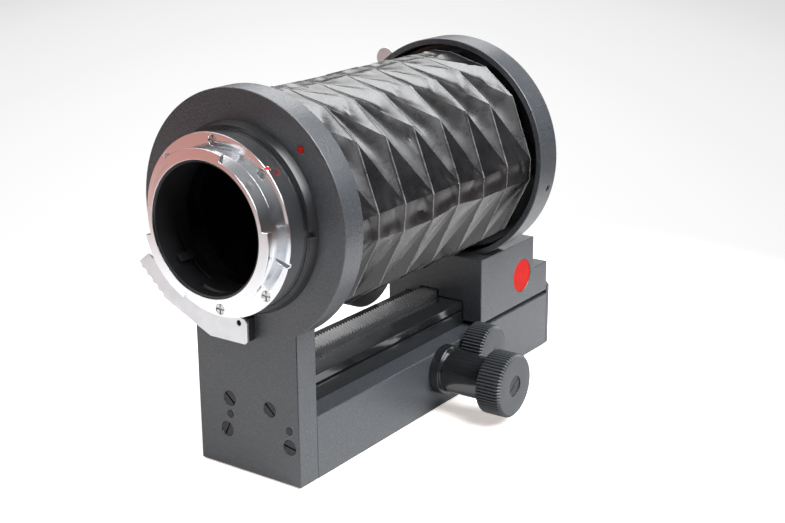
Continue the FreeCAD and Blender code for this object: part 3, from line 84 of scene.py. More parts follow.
MM = 0.001
NODE_BODY = {name: node["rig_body"] for name, node in frame["nodes"].items()}
NODE_SLOT = {part["node"]: part["material_slot"] for part in frame["record"]["subparts"]}
AXIS_HEIGHT = sum(corner.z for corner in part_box("bayonet_flange")) / 2
BELLOWS_START, BELLOWS_END = (corner.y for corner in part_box("bellows"))


# Sizes and colours that a user may change

class BELLOWSUNIT_PG_cloth(bpy.types.PropertyGroup):
    """Sizes of the folded cloth."""
    ridge_radius: bpy.props.FloatProperty(
        name="Ridge radius", description="Distance of the ridge corners from the optical axis",
        default=0.0409, min=0.03, max=0.042, unit="LENGTH", subtype="DISTANCE", precision=5)
    wall: bpy.props.FloatProperty(
        name="Cloth thickness", description="Thickness of the coated cloth",
        default=0.0005, min=0.0002, max=0.001, unit="LENGTH", subtype="DISTANCE", precision=5)
    slack: bpy.props.FloatProperty(
        name="Slack", description="How far the middle of a fold sinks between its creases",
        default=0.0005, min=0, max=0.002, unit="LENGTH", subtype="DISTANCE", precision=5)
    crumple: bpy.props.FloatProperty(
        name="Crumple", description="Depth of the small creases near the ridge corners",
        default=0.00042, min=0, max=0.002, unit="LENGTH", subtype="DISTANCE", precision=5)
    steps: bpy.props.IntProperty(
        name="Steps per fold", description="Columns of faces from one crease to the next",
        default=8, min=4, max=16)


class BELLOWSUNIT_PG_edges(bpy.types.PropertyGroup):
    """Roundings of edges and the fluting of the knobs."""
    casting: bpy.props.FloatProperty(
        name="Casting edge", description="Rounding of the painted castings' edges",
        default=0.0004, min=0, max=0.001, unit="LENGTH", subtype="DISTANCE", precision=5)
    machined: bpy.props.FloatProperty(
        name="Machined edge", description="Rounding of the machined parts' edges",
        default=0.00014, min=0, max=0.0005, unit="LENGTH", subtype="DISTANCE", precision=5)
    flutes: bpy.props.IntProperty(
        name="Flutes", description="Number of flutes round the focus knob", default=60, min=12, max=120)
    flute_depth: bpy.props.FloatProperty(
        name="Flute depth", description="Depth of the flutes round the knobs",
        default=0.0007, min=0, max=0.001, unit="LENGTH", subtype="DISTANCE", precision=5)


class BELLOWSUNIT_PG_colours(bpy.types.PropertyGroup):
    """Colours of the finishes."""
    crackle: bpy.props.FloatVectorProperty(
        name="Crackle paint", description="Crackle black paint of the castings",
        subtype="COLOR", size=3, min=0, max=1, default=(0.036, 0.040, 0.045))
    satin: bpy.props.FloatVectorProperty(
        name="Satin paint", description="Smooth satin black paint",
        subtype="COLOR", size=3, min=0, max=1, default=(0.014, 0.0142, 0.0155))
    rail: bpy.props.FloatVectorProperty(
        name="Rail enamel", description="Glossy black enamel of the guide rail",
        subtype="COLOR", size=3, min=0, max=1, default=(0.010, 0.0105, 0.0115))
    cloth: bpy.props.FloatVectorProperty(
        name="Bellows cloth", description="Coated cloth of the bellows",
        subtype="COLOR", size=3, min=0, max=1, default=(0.0080, 0.0078, 0.0084))
    chrome: bpy.props.FloatVectorProperty(
        name="Chrome", description="Polished chrome of the camera mount",
        subtype="COLOR", size=3, min=0, max=1, default=(0.83, 0.84, 0.86))
    red: bpy.props.FloatVectorProperty(
        name="Red enamel", description="Red enamel of the badge and the index dots",
        subtype="COLOR", size=3, min=0, max=1, default=(0.44, 0.012, 0.009))


class BELLOWSUNIT_PG_stage(bpy.types.PropertyGroup):
    """Floor, lamps and background."""
    floor: bpy.props.FloatVectorProperty(
        name="Floor", description="Colour of the floor",
        subtype="COLOR", size=3, min=0, max=1, default=(0.90, 0.89, 0.88))
    top_power: bpy.props.FloatProperty(
        name="Top lamp", description="Power of the large lamp high on the right",
        default=29.0, min=0, unit="POWER")
    back_power: bpy.props.FloatProperty(
        name="Back lamp", description="Power of the lamp high behind the unit",
        default=6.0, min=0, unit="POWER")
    side_power: bpy.props.FloatProperty(
        name="Side lamp", description="Power of the low lamp on the right",
        default=0.35, min=0, unit="POWER")
    fill_power: bpy.props.FloatProperty(
        name="Fill lamp", description="Power of the soft lamp at the left in front",
        default=5.5, min=0, unit="POWER")
    room: bpy.props.FloatProperty(
        name="Room light", description="Brightness of the room overhead", default=0.55, min=0, max=2)


PROPERTY_GROUPS = {
    "bellowsunit_cloth": BELLOWSUNIT_PG_cloth,
    "bellowsunit_edges": BELLOWSUNIT_PG_edges,
    "bellowsunit_colours": BELLOWSUNIT_PG_colours,
    "bellowsunit_stage": BELLOWSUNIT_PG_stage,
}


# Materials

class Paint:
    """A node material in the making: helpers that add nodes and join them to the Principled shader."""

    def __init__(self, name, **values):
        self.material = bpy.data.materials.new(name)
        self.material.use_nodes = True
        self.tree = self.material.node_tree
        self.shader = self.tree.nodes["Principled BSDF"]
        for socket, value in values.items():
            self.shader.inputs[socket.replace("_", " ")].default_value = value

    def add(self, kind, inputs=(), **settings):
        node = self.tree.nodes.new(kind)
        for name, value in settings.items():
            setattr(node, name, value)
        for socket, value in dict(inputs).items():
            if isinstance(value, bpy.types.NodeSocket):
                self.tree.links.new(value, node.inputs[socket])
            else:
                node.inputs[socket].default_value = value
        return node

    def place(self, scale=(1, 1, 1)):
        """Object coordinates, stretched by a Mapping node."""
        return self.stretched(self.add("ShaderNodeTexCoord").outputs["Object"], scale)

    def stretched(self, where, scale):
        return self.add("ShaderNodeMapping", {"Vector": where, "Scale": scale}).outputs["Vector"]

    def noise(self, where, scale, detail=3.0, roughness=0.55):
        node = self.add("ShaderNodeTexNoise", {"Vector": where, "Scale": scale, "Detail": detail,
                                               "Roughness": roughness})
        return node.outputs["Fac"]

    def cells(self, where, scale):
        """Distance to the middle of the nearest cell, smooth across the borders."""
        node = self.add("ShaderNodeTexVoronoi", {"Vector": where, "Scale": scale}, feature="SMOOTH_F1")
        return node.outputs["Distance"]

    def bent(self, where, grain):
        """Coordinates shifted by up to a third of a grain, so that a pattern's lines wander."""
        shift = self.add("ShaderNodeTexNoise", {"Vector": where, "Scale": 1.2 / grain, "Detail": 2.0})
        return self.vector("MULTIPLY_ADD", shift.outputs["Color"], (0.7 * grain,) * 3, where)

    def math(self, operation, first, second=0.0, third=0.0):
        return self.add("ShaderNodeMath", {0: first, 1: second, 2: third}, operation=operation).outputs[0]

    def vector(self, operation, *parts, output="Vector"):
        node = self.add("ShaderNodeVectorMath", dict(enumerate(parts)), operation=operation)
        return node.outputs[output]

    def about(self, middle, spread, noise):
        """A value that a noise from 0 to 1 moves about its middle, over a range of `spread`."""
        return self.math("MULTIPLY_ADD", noise, spread, middle - spread / 2)

    def ramp(self, factor, *stops, blend="LINEAR"):
        """A scale from (position, value) stops; a value may be a grey or a colour."""
        node = self.add("ShaderNodeValToRGB", {"Fac": factor})
        scale = node.color_ramp
        scale.interpolation = blend
        scale.elements[0].position, scale.elements[1].position = stops[0][0], stops[-1][0]
        for position, _ in stops[1:-1]:
            scale.elements.new(position)
        for element, (_, value) in zip(scale.elements, stops):
            colour = (value, value, value) if isinstance(value, (int, float)) else tuple(value)
            element.color = colour + (1.0,)
        return node.outputs["Color"]

    def mix(self, factor, first, second):
        """Two colours mixed; the numbers are the places of the Mix node's factor and colour sockets."""
        node = self.add("ShaderNodeMix", data_type="RGBA")
        for index, value in ((0, factor), (6, first), (7, second)):
            if isinstance(value, bpy.types.NodeSocket):
                self.tree.links.new(value, node.inputs[index])
            else:
                node.inputs[index].default_value = value if index == 0 else tuple(value)[:3] + (1.0,)
        return node.outputs[2]

    def bump(self, height, depth, strength):
        node = self.add("ShaderNodeBump", {"Height": height, "Distance": depth, "Strength": strength})
        return node.outputs["Normal"]

    def join(self, **outputs):
        for socket, output in outputs.items():
            self.tree.links.new(output, self.shader.inputs[socket.replace("_", " ")])
        return self.material


def shade(colour, share):
    """A colour at a share of its brightness."""
    return tuple(share * channel for channel in colour)


def crackle_paint(name, colour, roughness=0.35, grain=0.0006, depth=0.00012):
    """Crackle paint: a net of fine ridges between small round cells, with painted shade in the cells and a
    painted highlight on the ridges.

    The height is the distance to a cell's middle plus about half of a finer noise, in a grain's own size.
    """
    paint = Paint(name, Roughness=roughness, Specular_IOR_Level=0.8)
    where = paint.place()
    cells = paint.cells(paint.bent(where, grain), 1 / grain)
    fine = paint.noise(where, 2.6 / grain, 3.0, 0.6)
    cloud = paint.noise(where, 60.0)
    height = paint.math("MULTIPLY_ADD", fine, 0.55, cells)
    # Tone follows the height: painted shade in the low middles of the cells, painted highlight on the ridges
    tone = paint.ramp(height, (0.35, shade(colour, 0.55)), (0.95, shade(colour, 1.45)))
    # Paler clouds of wear laid over that painted shade and highlight
    wear_and_painted_ridges = paint.mix(paint.ramp(cloud, (0.35, 0.0), (0.75, 0.3)), tone, shade(colour, 1.25))
    gloss = paint.about(roughness, 0.14, cloud)
    return paint.join(Base_Color=wear_and_painted_ridges, Roughness=gloss, Normal=paint.bump(height, depth, 0.8))


def satin_paint(name, colour, roughness=0.3):
    """Smooth satin paint with a faint orange-peel skin."""
    paint = Paint(name, Roughness=roughness, Specular_IOR_Level=0.5)
    where = paint.place()
    skin = paint.noise(where, 900.0, 2.0)
    cloud = paint.noise(where, 45.0)
    tone = paint.ramp(cloud, (0.3, shade(colour, 0.85)), (0.7, shade(colour, 1.2)))
    gloss = paint.about(roughness, 0.14, cloud)
    return paint.join(Base_Color=tone, Roughness=gloss, Normal=paint.bump(skin, 0.000012, 0.8))


def enamel(name, colour, roughness=0.12):
    """Glossy enamel: a soft tone below a clear coat with very fine scratches along the rail."""
    paint = Paint(name, Roughness=roughness, Specular_IOR_Level=0.5, Coat_Weight=0.8, Coat_Roughness=0.1)
    scratches = paint.noise(paint.place((900, 25, 900)), 1.0)
    cloud = paint.noise(paint.place((90, 20, 90)), 1.0)
    gloss = paint.ramp(scratches, (0.3, roughness), (0.8, roughness + 0.10))
    tone = paint.ramp(cloud, (0.3, shade(colour, 0.9)), (0.7, shade(colour, 1.3)))
    return paint.join(Base_Color=tone, Roughness=gloss, Normal=paint.bump(scratches, 0.000004, 0.3))


def turned_metal(name, colour, roughness):
    """Metal turned about the optical axis: its shine spreads across fine grooves that run round the axis."""
    paint = Paint(name, Metallic=1.0, Roughness=roughness, Anisotropic=0.75)
    source = paint.add("ShaderNodeTexCoord").outputs["Object"]
    arm = paint.vector("SUBTRACT", source, (0, 0, AXIS_HEIGHT))
    round_axis = paint.vector("CROSS_PRODUCT", arm, (0, 1, 0))
    turned = paint.add("ShaderNodeVectorTransform", {"Vector": round_axis}, vector_type="VECTOR",
                       convert_from="OBJECT", convert_to="WORLD")
    cloud = paint.noise(paint.place(), 130.0)
    tone = paint.ramp(cloud, (0.25, shade(colour, 0.96)), (0.75, colour))
    return paint.join(Base_Color=tone, Roughness=paint.about(roughness, 0.2 * roughness, cloud),
                      Tangent=paint.vector("NORMALIZE", turned.outputs[0]))


def brushed_metal(name, colour, roughness):
    """Brushed metal: noise drawn out along X, with smudges in the tone."""
    paint = Paint(name, Metallic=1.0, Roughness=roughness)
    lines = paint.noise(paint.place((120, 7000, 7000)), 1.0)
    cloud = paint.noise(paint.place(), 160.0, 4.0)
    tone = paint.ramp(cloud, (0.25, shade(colour, 0.85)), (0.75, colour))
    gloss = paint.about(roughness, 0.5 * roughness, lines)
    return paint.join(Base_Color=tone, Roughness=gloss, Normal=paint.bump(lines, 0.000003, 0.6))


def coated_cloth(name, colour):
    """Coated bellows cloth: a glossy black coat, crumpled and smudged, pale grey in clouds along the ridges.

    The cloth's map runs across the folds in U, one unit for each fold, and round the bellows in V. The inner
    side, where the face looks towards the optical axis, is dull and dark.
    """
    paint = Paint(name, Roughness=0.30, Specular_IOR_Level=0.6)
    folds = paint.add("ShaderNodeUVMap", uv_map="folds").outputs["UV"]
    across = paint.add("ShaderNodeSeparateXYZ", {"Vector": folds}).outputs["X"]
    share = paint.math("FRACT", across)
    edge = paint.math("MINIMUM", share, paint.math("SUBTRACT", 1.0, share))
    where = paint.place()
    cloud = paint.noise(where, 190.0, 5.0, 0.65)
    patches = paint.noise(where, 60.0)
    creases = paint.noise(where, 240.0, 2.0, 0.5)
    weave = paint.noise(paint.stretched(folds, (9, 46, 1)), 1.0, 3.0, 0.6)
    # A thin band along each ridge turns pale grey in clouds
    pale_crests = paint.math("MULTIPLY", paint.ramp(edge, (0.0, 1.0), (0.02, 0.0)),
                        paint.ramp(cloud, (0.35, 0.15), (0.65, 1.0)))
    base = paint.mix(paint.ramp(patches, (0.35, 0.0), (0.7, 1.0)), shade(colour, 0.6), shade(colour, 1.6))
    outer = paint.mix(pale_crests, base, (0.28, 0.275, 0.28))
    place = paint.add("ShaderNodeTexCoord")
    arm = paint.vector("SUBTRACT", place.outputs["Object"], (0, 0, AXIS_HEIGHT))
    level = paint.vector("MULTIPLY", arm, (1, 0, 1))
    outward = paint.vector("DOT_PRODUCT", level, place.outputs["Normal"], output="Value")
    inside = paint.math("LESS_THAN", outward, 0.0)
    tone = paint.mix(inside, outer, (0.012, 0.012, 0.012))
    gloss = paint.math("MAXIMUM", paint.ramp(cloud, (0.25, 0.21), (0.75, 0.37)),
                       paint.math("MULTIPLY", inside, 0.95))
    skin = paint.math("MULTIPLY_ADD", weave, 0.12, creases)
    return paint.join(Base_Color=tone, Roughness=gloss, Normal=paint.bump(skin, 0.00016, 0.34))


def red_enamel(name, colour):
    """Red enamel with little shine, a little darker in clouds."""
    paint = Paint(name, Roughness=0.45, Specular_IOR_Level=0.06)
    cloud = paint.noise(paint.place(), 300.0)
    tone = paint.ramp(cloud, (0.3, shade(colour, 0.8)), (0.7, colour))
    return paint.join(Base_Color=tone, Normal=paint.bump(cloud, 0.00001, 0.4))


def make_finishes():
    """All the unit's finishes, by the record's slot names; one that is there already stays."""
    colours = bpy.context.scene.bellowsunit_colours
    crackle = tuple(colours.crackle)
    recipes = {
        "crackle_black": (crackle_paint, crackle),
        "satin_black": (satin_paint, tuple(colours.satin)),
        "rail_black": (enamel, tuple(colours.rail)),
        "knob_black": (crackle_paint, shade(crackle, 0.75), 0.5, 0.0002, 0.000012),
        "satin_metal": (brushed_metal, (0.78, 0.79, 0.81), 0.42),
        "polished_chrome": (turned_metal, tuple(colours.chrome), 0.17),
        "bright_steel": (brushed_metal, (0.62, 0.62, 0.61), 0.22),
        "dark_steel": (brushed_metal, (0.055, 0.055, 0.058), 0.36),
        "rack_steel": (brushed_metal, (0.72, 0.725, 0.73), 0.32),
        "brass": (brushed_metal, (0.60, 0.44, 0.19), 0.26),
        "red_paint": (red_enamel, tuple(colours.red)),
        "bellows_cloth": (coated_cloth, tuple(colours.cloth)),
    }
    for slot, (maker, *values) in recipes.items():
        if f"{slot}_finish" not in bpy.data.materials:
            maker(f"{slot}_finish", *values)


def finish(slot):
    if f"{slot}_finish" not in bpy.data.materials:
        make_finishes()
    return bpy.data.materials[f"{slot}_finish"]


# Meshes

MERGE_DISTANCE = 2e-6
FINE_DISTANCE = 1e-7
FLAT_ANGLE = math.radians(0.4)
EDGE_ANGLE = math.radians(34)
ALL_SMOOTH = 180


def settle(name, mesh, node, sharp, material=None):
    """Shades a mesh, keeps its edges past `sharp` degrees, and puts it in the place of a CAD node."""
    mesh.polygons.foreach_set("use_smooth", np.ones(len(mesh.polygons), dtype=bool))
    mesh.set_sharp_from_angle(angle=math.radians(sharp))
    piece = bpy.data.objects.new(name, mesh)
    bpy.context.scene.collection.objects.link(piece)
    slot = NODE_SLOT[node]
    mesh.materials.append(finish(material or slot))
    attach(piece, NODE_BODY[node])
    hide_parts(node)
    return piece


def finished_node(node, width, segments=2, material=None):
    """A copy of a CAD node with its doubles merged, flat faces joined, and its edges rounded by `width`."""
    merged = bmesh.new()
    merged.from_mesh(frame["nodes"][node].data)
    bmesh.ops.remove_doubles(merged, verts=merged.verts, dist=MERGE_DISTANCE)
    bmesh.ops.dissolve_limit(merged, angle_limit=FLAT_ANGLE, verts=merged.verts, edges=merged.edges)
    mesh = bpy.data.meshes.new(f"{node}_finished")
    merged.to_mesh(mesh)
    merged.free()
    piece = settle(f"{node}_finished", mesh, node, ALL_SMOOTH, material)
    bevel = piece.modifiers.new("rounded_edges", "BEVEL")
    bevel.width = width
    bevel.segments = segments
    bevel.limit_method = "ANGLE"
    bevel.angle_limit = EDGE_ANGLE
    bevel.use_clamp_overlap = False
    bevel.miter_outer = "MITER_ARC"
    even = piece.modifiers.new("even_shading", "WEIGHTED_NORMAL")
    even.mode = "FACE_AREA"
    even.weight = 75
    return piece


def repaint(node):
    """Gives a CAD node, whose shape stays, its finish."""
    mesh = frame["nodes"][node].data
    mesh.materials.clear()
    mesh.materials.append(finish(NODE_SLOT[node]))


def grid_faces(rows, columns, close_rows=False, close_columns=False):
    """Quads over rows x columns of points; a closed direction joins its last line to its first."""
    row = np.arange(rows if close_rows else rows - 1)[:, None]
    column = np.arange(columns if close_columns else columns - 1)[None, :]
    near, far = row * columns, (row + 1) % rows * columns
    left, right = column, (column + 1) % columns
    return np.stack([near + left, near + right, far + right, far + left], axis=-1).reshape(-1, 4)


def soft_profile(corners, rounding, steps=4):
    """A closed outline with every corner replaced by a curve.

    The curve is (1 - t)^2 A + 2 t (1 - t) C + t^2 B, where C is the corner and A and B lie `rounding` from it
    on its two sides, or at 0.45 of a side that is shorter.
    """
    corner = np.asarray(corners, float)
    before, after = np.roll(corner, 1, axis=0) - corner, np.roll(corner, -1, axis=0) - corner
    sides = []
    for side in (before, after):
        length = np.linalg.norm(side, axis=1, keepdims=True)
        sides.append(corner + side / length * np.minimum(rounding, 0.45 * length))
    share = np.linspace(0, 1, steps)[None, :, None]
    curve = ((1 - share) ** 2 * sides[0][:, None] + 2 * share * (1 - share) * corner[:, None]
             + share ** 2 * sides[1][:, None])
    return curve.reshape(-1, 2)


def turned_points(profile, centre, columns, relief=None):
    """Points of a surface turned about an axis along X, from a profile of (along, radius).

    At the angle a, a point is centre + (along, (radius - relief) * cos a, (radius - relief) * sin a).
    """
    angle = np.arange(columns) * 2 * math.pi / columns
    along = np.repeat(profile[:, :1], columns, axis=1)
    radius = np.repeat(profile[:, 1:], columns, axis=1)
    if relief is not None:
        radius = radius - relief(radius, angle[None, :])
    points = np.stack([along, radius * np.cos(angle), radius * np.sin(angle)], axis=-1)
    return (points + np.asarray(centre)).reshape(-1, 3)


def turned_piece(name, node, corners, centre, rounding, columns, sharp, relief=None):
    """A closed ring turned about an axis along X, from an outline of (along, radius) with soft corners."""
    profile = soft_profile(corners, rounding)
    points = turned_points(profile, centre, columns, relief)
    faces = grid_faces(len(profile), columns, close_rows=True, close_columns=True)
    mesh = bpy.data.meshes.new(name)
    mesh.from_pydata(points.tolist(), [], faces.tolist())
    merged = bmesh.new()
    merged.from_mesh(mesh)
    bmesh.ops.remove_doubles(merged, verts=merged.verts, dist=FINE_DISTANCE)
    bmesh.ops.recalc_face_normals(merged, faces=merged.faces)
    merged.to_mesh(mesh)
    merged.free()
    return settle(name, mesh, node, sharp)


def round_node(node):
    """A round CAD node's lower and upper corner, its centre at X = 0, and its radius about X."""
    low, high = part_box(node)
    return low, high, (0, (low.y + high.y) / 2, (low.z + high.z) / 2), (high.z - low.z) / 2


# Bellows

# Corners of a ridge on the right, as angles in degrees, and each crease from one ridge to the next by the
# numbers of its two corners
RIGHT_CORNERS = (85, 62, 38, 3, -9, -44, -68, -90)
RIGHT_CREASES = ((0, 0), (0, 1), (0, 2), (1, 2), (1, 3), (2, 3), (3, 3), (4, 4), (5, 4), (6, 4), (6, 5),
                 (7, 5), (7, 6), (7, 7))
# Y of each ridge; the first lies behind the rear frame
RIDGE_ROWS = (-0.082, -0.065, -0.049, -0.032, -0.015, 0.002, 0.019, 0.0368)
CORNER_SPREAD = 0.013
RADIUS_SPREAD = 0.22 * MM
RIDGE_LIMIT = 41.1 * MM
CLOTH_LIMIT = 41.3 * MM
CUFF_RADIUS = 39.2 * MM
PINCH_HEIGHT = 0.22 * MM
PINCH_WIDTH = 0.35 * MM
# Shares of the way across a fold at which it has a row of points: close together by the ridges
RIDGE_SHARES = (0, 0.012, 0.03, 0.055, 0.09)
MIDDLE_SHARES = (0.13, 0.87)
SMALLEST_SHARE = 0.01
CLOTH_EDGE = 16
# Angle in degrees and slant of the long small creases by the widest facets
LONG_CREASES = ((58, 0.4), (4, -0.5), (122, -0.4), (176, 0.5))
LOOSE_CREASES = 5

Crease = namedtuple("Crease", "row turn slant length width height")


def crease_pattern():
    """Corner angles round the bellows, and each crease's corner on the near and on the far ridge.

    The left half mirrors the right: its angles are -180 - a, its corner numbers 14 - k.
    """
    last = 2 * len(RIGHT_CORNERS) - 2
    corners = list(RIGHT_CORNERS) + [-180 - angle for angle in reversed(RIGHT_CORNERS[:-1])]
    creases = list(RIGHT_CREASES) + [(last - near, last - far) for near, far in reversed(RIGHT_CREASES[:-1])]
    return np.radians(corners), np.array(creases)


def fold_points(near, far, creases, row_near, row_far, shares, steps):
    """Points of one fold between two ridges.

    Each crease runs straight from its near corner to its far corner, so at a share s it is at
    (1 - s) near + s far; between neighbouring creases the points are spread evenly. Returns the points and the
    share of the way to the next crease.
    """
    share = shares[:, None, None]
    lines = (1 - share) * near[creases[:, 0]][None] + share * far[creases[:, 1]][None]
    onward = np.roll(lines, -1, axis=1)
    part = (np.arange(steps) / steps)[None, None, :, None]
    ring = ((1 - part) * lines[:, :, None] + part * onward[:, :, None]).reshape(len(shares), -1, 2)
    row = np.broadcast_to((row_near + shares * (row_far - row_near))[:, None], ring.shape[:2])
    sideways = np.broadcast_to(np.tile(part[0, 0, :, 0], len(creases))[None], ring.shape[:2])
    return np.stack([ring[..., 0], row, ring[..., 1]], axis=-1), sideways


def small_creases(settings):
    """The small creases: some aslant by each ridge's corners, some long by the widest facets, some anywhere."""
    rng = np.random.default_rng(7)
    corners, _ = crease_pattern()
    creases = []
    for ridge in RIDGE_ROWS[1:]:
        for corner in corners:
            creases.append(Crease(
                row=ridge - rng.uniform(2, 9) * MM,
                turn=corner + rng.normal(0, 0.06),
                slant=rng.choice([-1, 1]) * rng.uniform(0.3, 1.3),
                length=rng.uniform(2.5, 5.5) * MM,
                width=rng.uniform(1.1, 1.7) * MM,
                height=rng.choice([-1.0, 0.7]) * rng.uniform(0.4, 1) * settings.crumple))
        for turn, slant in LONG_CREASES:
            creases.append(Crease(
                row=ridge - rng.uniform(3, 6) * MM,
                turn=math.radians(turn + rng.normal(0, 3)),
                slant=slant + rng.normal(0, 0.15),
                length=rng.uniform(4, 6.5) * MM,
                width=rng.uniform(1.1, 1.4) * MM,
                height=-rng.uniform(0.9, 1.5) * settings.crumple))
        for _ in range(LOOSE_CREASES):
            creases.append(Crease(
                row=ridge - rng.uniform(3, 14) * MM,
                turn=rng.uniform(-math.pi, math.pi),
                slant=rng.uniform(-0.5, 0.5),
                length=rng.uniform(4, 9) * MM,
                width=rng.uniform(1.2, 2) * MM,
                height=rng.choice([-1.0, 0.6]) * rng.uniform(0.2, 0.6) * settings.crumple))
    return creases


def cloth_relief(points, sideways, share, settings, creases):
    """How far the cloth stands out from its flat facets, in metres.

    The slack is -slack * 4 s (1 - s) * sin^2 of the way between two creases; the pinched ridge is a narrow bell
    of the distance to the ridge row; each small crease is a bell across its own line, faded out along it.
    """
    rows = points[..., 1]
    turn = np.arctan2(points[..., 2], points[..., 0])
    relief = -settings.slack * 4 * share * (1 - share) * np.sin(math.pi * sideways) ** 2
    for ridge in RIDGE_ROWS[1:]:
        relief = relief + PINCH_HEIGHT * np.exp(-((rows - ridge) / PINCH_WIDTH) ** 2)
    for crease in creases:
        across_ring = (np.mod(turn - crease.turn + math.pi, 2 * math.pi) - math.pi) * settings.ridge_radius
        across_rows = rows - crease.row
        forward = across_ring * math.cos(crease.slant) + across_rows * math.sin(crease.slant)
        aside = across_rows * math.cos(crease.slant) - across_ring * math.sin(crease.slant)
        relief = relief + crease.height * np.exp(-(aside / crease.width) ** 2 - (forward / crease.length) ** 4)
    return relief


def cloth_spans(settings):
    """Each fold's near and far outline, the rows of both, and its creases; the last fold ends on the cuff.

    An outline's corners lie at ridge_radius, each a little off its angle and radius by chance.
    """
    rng = np.random.default_rng(3)
    corners, creases = crease_pattern()
    ridges = []
    for _ in RIDGE_ROWS:
        angle = corners + rng.normal(0, CORNER_SPREAD, len(corners))
        radius = settings.ridge_radius + rng.normal(0, RADIUS_SPREAD, len(corners))
        radius = np.minimum(radius, RIDGE_LIMIT)
        ridges.append(np.stack([radius * np.cos(angle), radius * np.sin(angle)], axis=-1))
    cuff = CUFF_RADIUS * np.stack([np.cos(corners), np.sin(corners)], axis=-1)
    spans = [(*outlines, *rows, creases)
             for outlines, rows in zip(zip(ridges, ridges[1:]), zip(RIDGE_ROWS, RIDGE_ROWS[1:]))]
    spans.append((ridges[-1], cuff, RIDGE_ROWS[-1], BELLOWS_END, creases[:, [1, 1]]))
    return spans


def cloth_surface(settings):
    """Points, faces and map of the whole cloth before it gets its wall; the first fold starts at the frame.

    A point of a flat facet moves outwards by the relief: its arm from the axis is scaled by
    (radius + relief) / radius, and no radius passes CLOTH_LIMIT.
    """
    steps = settings.steps
    close = np.array(RIDGE_SHARES)
    shares = np.concatenate([close, np.linspace(*MIDDLE_SHARES, 2 * steps), 1 - close[::-1]])
    creases = small_creases(settings)
    points, faces, maps = [], [], []
    start = 0
    for number, (near, far, row_near, row_far, lines) in enumerate(cloth_spans(settings)):
        used = shares
        if row_near < BELLOWS_START:
            first = (BELLOWS_START - row_near) / (row_far - row_near)
            used = np.concatenate([[first], shares[shares > first + SMALLEST_SHARE]])
        fold, sideways = fold_points(near, far, lines, row_near, row_far, used, steps)
        share = np.broadcast_to(used[:, None], sideways.shape)
        radius = np.hypot(fold[..., 0], fold[..., 2])
        relief = cloth_relief(fold, sideways, share, settings, creases)
        grown = np.minimum(radius + relief, CLOTH_LIMIT) / radius
        fold[..., 0] *= grown
        fold[..., 2] *= grown
        rows, columns = sideways.shape
        points.append(fold.reshape(-1, 3))
        faces.append(grid_faces(rows, columns, close_columns=True) + start)
        around = np.broadcast_to(np.arange(columns)[None] / steps, sideways.shape)
        maps.append(np.stack([number + share, around], axis=-1).reshape(-1, 2))
        start += rows * columns
    points = np.concatenate(points) + np.array([0, 0, AXIS_HEIGHT])
    return points, np.concatenate(faces), np.concatenate(maps)


class BELLOWSUNIT_OT_cloth(bpy.types.Operator):
    """Folds the bellows cloth between its two frames"""
    bl_idname = "bellowsunit.cloth"
    bl_label = "Bellows cloth"

    def execute(self, context):
        settings = context.scene.bellowsunit_cloth
        points, faces, maps = cloth_surface(settings)
        mesh = bpy.data.meshes.new("bellows_cloth")
        mesh.from_pydata(points.tolist(), [], faces.tolist())
        uv = mesh.uv_layers.new(name="folds")
        loop_vertex = np.zeros(len(mesh.loops), dtype=np.int32)
        mesh.loops.foreach_get("vertex_index", loop_vertex)
        uv.data.foreach_set("uv", maps[loop_vertex].astype(np.float32).ravel())
        merged = bmesh.new()
        merged.from_mesh(mesh)
        bmesh.ops.remove_doubles(merged, verts=merged.verts, dist=MERGE_DISTANCE)
        bmesh.ops.dissolve_degenerate(merged, edges=merged.edges, dist=FINE_DISTANCE)
        bmesh.ops.recalc_face_normals(merged, faces=merged.faces)
        merged.to_mesh(mesh)
        merged.free()
        piece = settle("bellows_cloth", mesh, "bellows", CLOTH_EDGE)
        wall = piece.modifiers.new("cloth_thickness", "SOLIDIFY")
        wall.thickness = settings.wall
        wall.offset = -1
        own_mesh(piece)
        return {"FINISHED"}


# Knobs

FLUTE_REACH = 1.6 * MM
FLUTE_RUNOUT = 0.9 * MM
COLUMNS_PER_FLUTE = 10
KNOB_EDGE = 50
KNOB_CHAMFER = 0.9 * MM
KNOB_BORE = 3.02 * MM
SCREW_SEAT = 4.05 * MM
SCREW_SEAT_DEPTH = 1.9 * MM
LOCK_CHAMFER = 0.8 * MM
LOCK_BORE = 2.52 * MM
LOCK_BORE_END = 2 * MM
LOCK_HUB = 6 * MM
LOCK_RIM_START = 24 * MM
LOCK_DIMPLE, LOCK_DIMPLE_FLOOR, LOCK_DIMPLE_DEPTH = 1.2 * MM, 0.9 * MM, 0.3 * MM
CORE = 0.05 * MM


def fluted(count, depth, outer):
    """Straight flutes: a groove is depth * (1/2 + 1/2 cos(count * angle))^1.5, only near the outer radius."""
    def relief(radius, angle):
        groove = (0.5 + 0.5 * np.cos(count * angle)) ** 1.5
        near_rim = np.clip((radius - (outer - FLUTE_REACH)) / FLUTE_RUNOUT, 0, 1)
        return depth * groove * near_rim
    return relief


def knob_outline(side, start, length, radius):
    """(along, radius) corners of a knob with a sunk seat for its screw; side is 1 right, -1 left."""
    end = start + length
    floor = end - SCREW_SEAT_DEPTH
    corners = [(start, KNOB_BORE), (start, radius - KNOB_CHAMFER), (start + KNOB_CHAMFER, radius),
               (end - KNOB_CHAMFER, radius), (end, radius - KNOB_CHAMFER), (end, SCREW_SEAT),
               (floor, SCREW_SEAT), (floor, KNOB_BORE)]
    return [(side * along, across) for along, across in corners]


